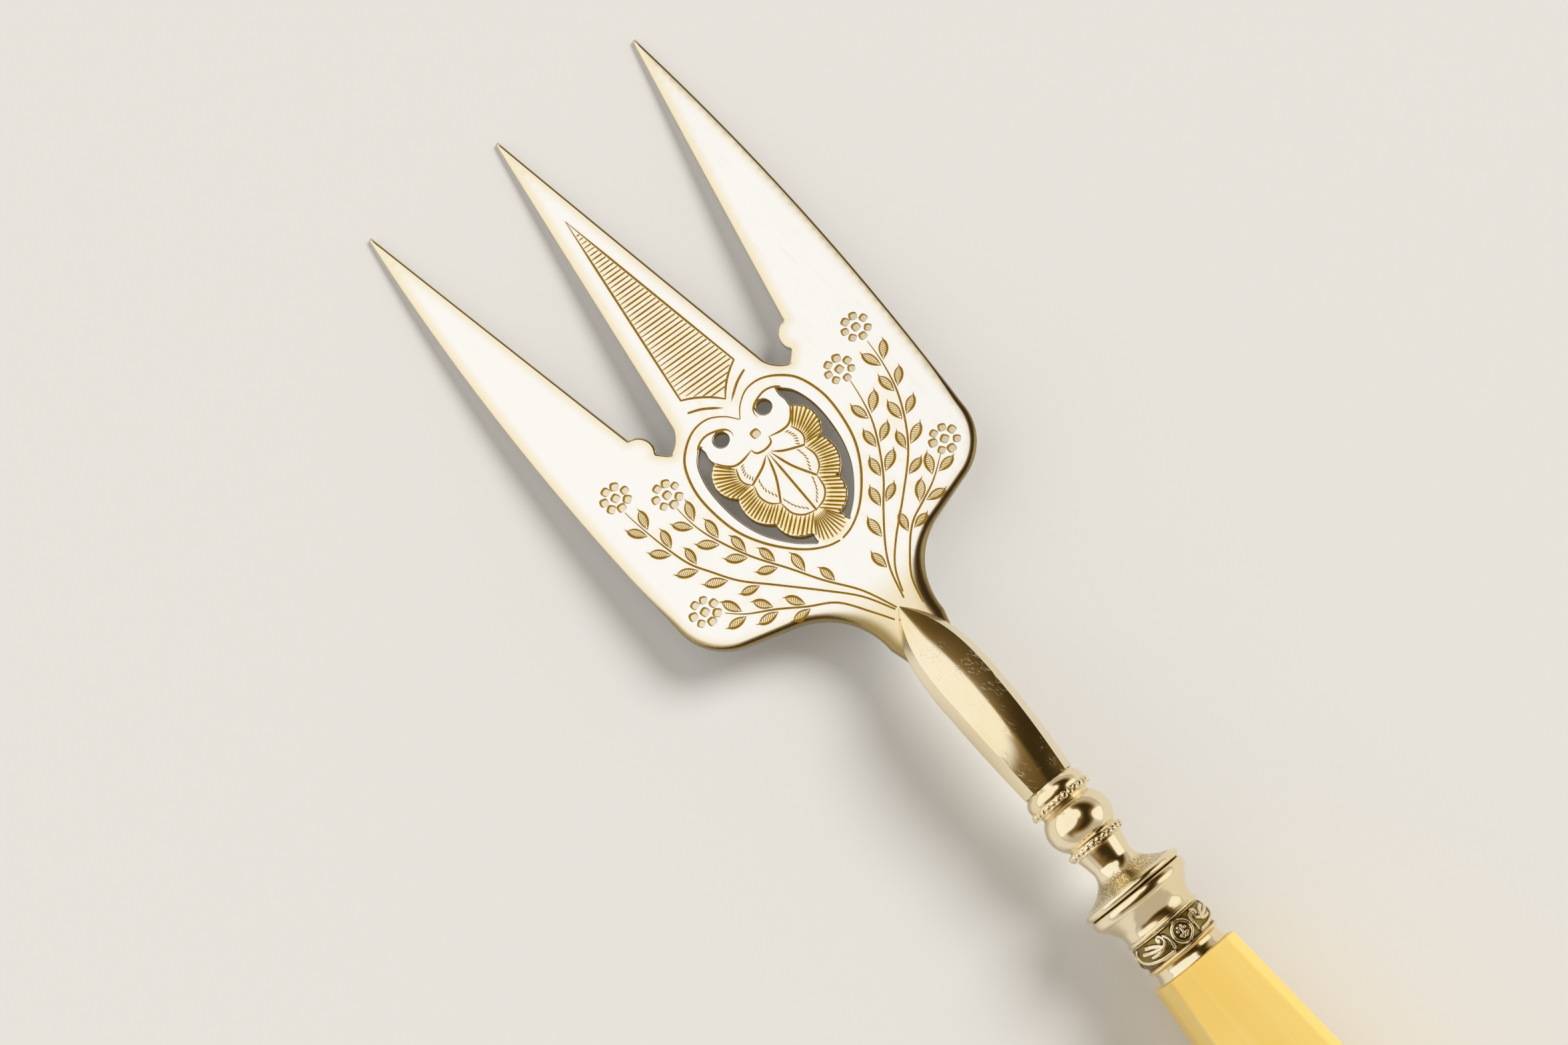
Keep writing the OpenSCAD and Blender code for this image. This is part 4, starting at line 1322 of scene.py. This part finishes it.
# %% [markdown]
# ## Handle
# The handle is pale celluloid, rolled with a fine straight grain to look like ivory. It widens from the
# ferrule, its four long edges are bevelled, and its hidden end is rounded plainly. Its rings are softened
# rectangles, close together where the end turns.

# %% Handle shape
def handle_ring(s, shrink=1.0):
    """One bevelled section of the handle, at a distance s behind its front end."""
    y, z = half_w(s) * shrink, half_t(s) * shrink
    c = BEVEL_W * min(1, end_round(s) + 0.2) * shrink
    ring = soft_ring([
        (y - c, z), (y, z - c), (y, c - z), (y - c, -z),
        (c - y, -z), (-y, c - z), (-y, z - c), (c - y, z)], 0.3, 4)
    return on_axis(np.column_stack([np.full(len(ring), -s), ring]))


turning = BUTT_ROUND * np.sin(np.linspace(0.05, math.pi / 2, 24))
stations = np.concatenate([
    [0.12], np.linspace(0.5, HANDLE_LEN - BUTT_ROUND, 60), HANDLE_LEN - BUTT_ROUND + turning])
stations = np.minimum(stations, HANDLE_LEN)
handle_rings = [handle_ring(0, 0.985)] + [handle_ring(s) for s in stations] + [handle_ring(HANDLE_LEN, 0.93)]
handle_points, handle_faces = join(skin(handle_rings))
print("sections of the handle:", len(handle_rings))

# %% Handle finish
PALE, HONEY, CREAM = (0.92, 0.67, 0.195), (0.88, 0.59, 0.135), (0.94, 0.77, 0.33)
f = material("handle_celluloid")
grain = f.noise(900.0, 3.0, stretch=(0.012, 1, 0.35))
broad = f.noise(160.0, 2.0, stretch=(0.05, 1, 0.4))
cloud = f.noise(45.0, 2.0)
tone = f.mix(broad.between(0.35, 0.7), PALE, HONEY)
tone = f.mix(grain.between(0.5, 0.8) * 0.35, tone, CREAM)
tone = f.mix(cloud.between(0.45, 0.75) * 0.3, tone, CREAM)
pores = f.noise(2200.0, 2.0, stretch=(0.1, 1, 1))
bump = f.node("ShaderNodeBump", {}, {"Height": pores, "Strength": 0.2, "Distance": 0.00002})
f.surface({"Base Color": tone, "Roughness": 0.34 + grain * 0.12, "Normal": bump, "IOR": 1.5})
handle = build("handle", handle_points, handle_faces, f, crease=0)
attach(handle, "root")
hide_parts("handle")

# %% [markdown]
# ## Cement
# A cutler's cement of resin and brick dust holds the tang in the handle. It is hidden inside the ferrule, so
# the CAD solid stays, and only gets the finish: a dull red-brown with coarse dark grit.

# %% Cement finish
f = material("cutlers_cement")
grit = f.noise(1200.0, 4.0)
tone = f.mix(grit.between(0.4, 0.7), (0.10, 0.045, 0.02), (0.22, 0.11, 0.06))
bump = f.node("ShaderNodeBump", {}, {"Height": grit, "Strength": 0.5, "Distance": 0.0001})
f.surface({"Base Color": tone, "Roughness": 0.7 + grit * 0.2, "Normal": bump})
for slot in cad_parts["cement"].material_slots:
    slot.material = f.owner

# %% [markdown]
# ## Floor and light
# The fork lies on a plain pale floor. A polished fork shows its room, so the sky is a studio: a soft oval
# window ahead of the tips, which the flat blade sees, three more round about, pale low walls with a higher
# one behind the handle, and a dim golden ceiling, which gives the round bolster its dark middle. One soft
# lamp adds the shadow's direction. The camera itself sees a plain pale backdrop where the floor ends.

# %% Floor
BACKDROP = (0.80, 0.80, 0.79)
bpy.ops.mesh.primitive_plane_add(size=16)
floor = bpy.context.object
floor.name = "floor"
f = material("pale_floor")
f.surface({"Base Color": (*BACKDROP, 1), "Roughness": 0.9})
floor.data.materials.append(f.owner)

# %% Studio sky
GLOW, GLOW_REACH, CEILING, BRIGHTEST, WALLS = 0.17, 3.4, 0.04, 1.03, 0.5
world = bpy.data.worlds.new("studio")
bpy.context.scene.world = world
f = Finish(world)
way = f.node("ShaderNodeTexCoord", {}, {}, out="Generated")
x, y, z = [f.node("ShaderNodeSeparateXYZ", {}, {0: way}, out=k) for k in range(3)]


def panel(centre, reach, soft):
    """A soft-edged oval window in the sky with a faint glow round it, placed by the x and y of directions."""
    dx, dy = (x - centre[0]) * (1 / reach[0]), (y - centre[1]) * (1 / reach[1])
    away = dx * dx + dy * dy
    return 1.0 - away.between(1 - soft, 1 + soft) + (1.0 - away.between(0.7, GLOW_REACH)) * GLOW


ahead = panel((0.42, -0.04), (0.30, 0.21), 0.35) + panel((0.76, 0.14), (0.24, 0.17), 0.45)
beside = panel((0.34, 0.64), (0.52, 0.60), 0.3) + panel((-0.40, -0.84), (0.36, 0.24), 0.4)
windows = (ahead + beside) * z.between(0.02, 0.12)
back_wall = (1 - x.between(-0.7, -0.25)) * (1 - z.between(0.55, 0.85))
low_walls = (1 - z.between(0.25, 0.6)).sum("MAXIMUM", back_wall) * WALLS
light = (CEILING + windows.sum("MINIMUM", 1.0) * (1 - CEILING) + low_walls).sum("MINIMUM", BRIGHTEST)
tint = f.mix(light.between(0.15, 0.7), (1.0, 0.63, 0.2), (1.0, 0.985, 0.96))
seen = f.node("ShaderNodeLightPath", {}, {}, out="Is Camera Ray")
shown = f.mix(seen, tint, BACKDROP)
sky = f.node("ShaderNodeBackground", {}, {"Color": shown, "Strength": light * (1 - seen) + seen})
f.node("ShaderNodeOutputWorld", {}, {"Surface": sky})
print("steps in the sky:", len(world.node_tree.nodes))

# %% Key lamp
lamp = bpy.data.objects.new("key_lamp", bpy.data.lights.new("key_lamp", "SUN"))
lamp.data.angle, lamp.data.energy = 0.5, 2.1
lamp.data.color = (1.0, 0.98, 0.95)
lamp.visible_glossy = False
lamp.location = (0.0, -1.1, 1.1)
lamp.rotation_euler = (-lamp.location).to_track_quat("-Z", "Y").to_euler()
bpy.context.scene.collection.objects.link(lamp)
bpy.context.scene.view_settings.view_transform = "Standard"
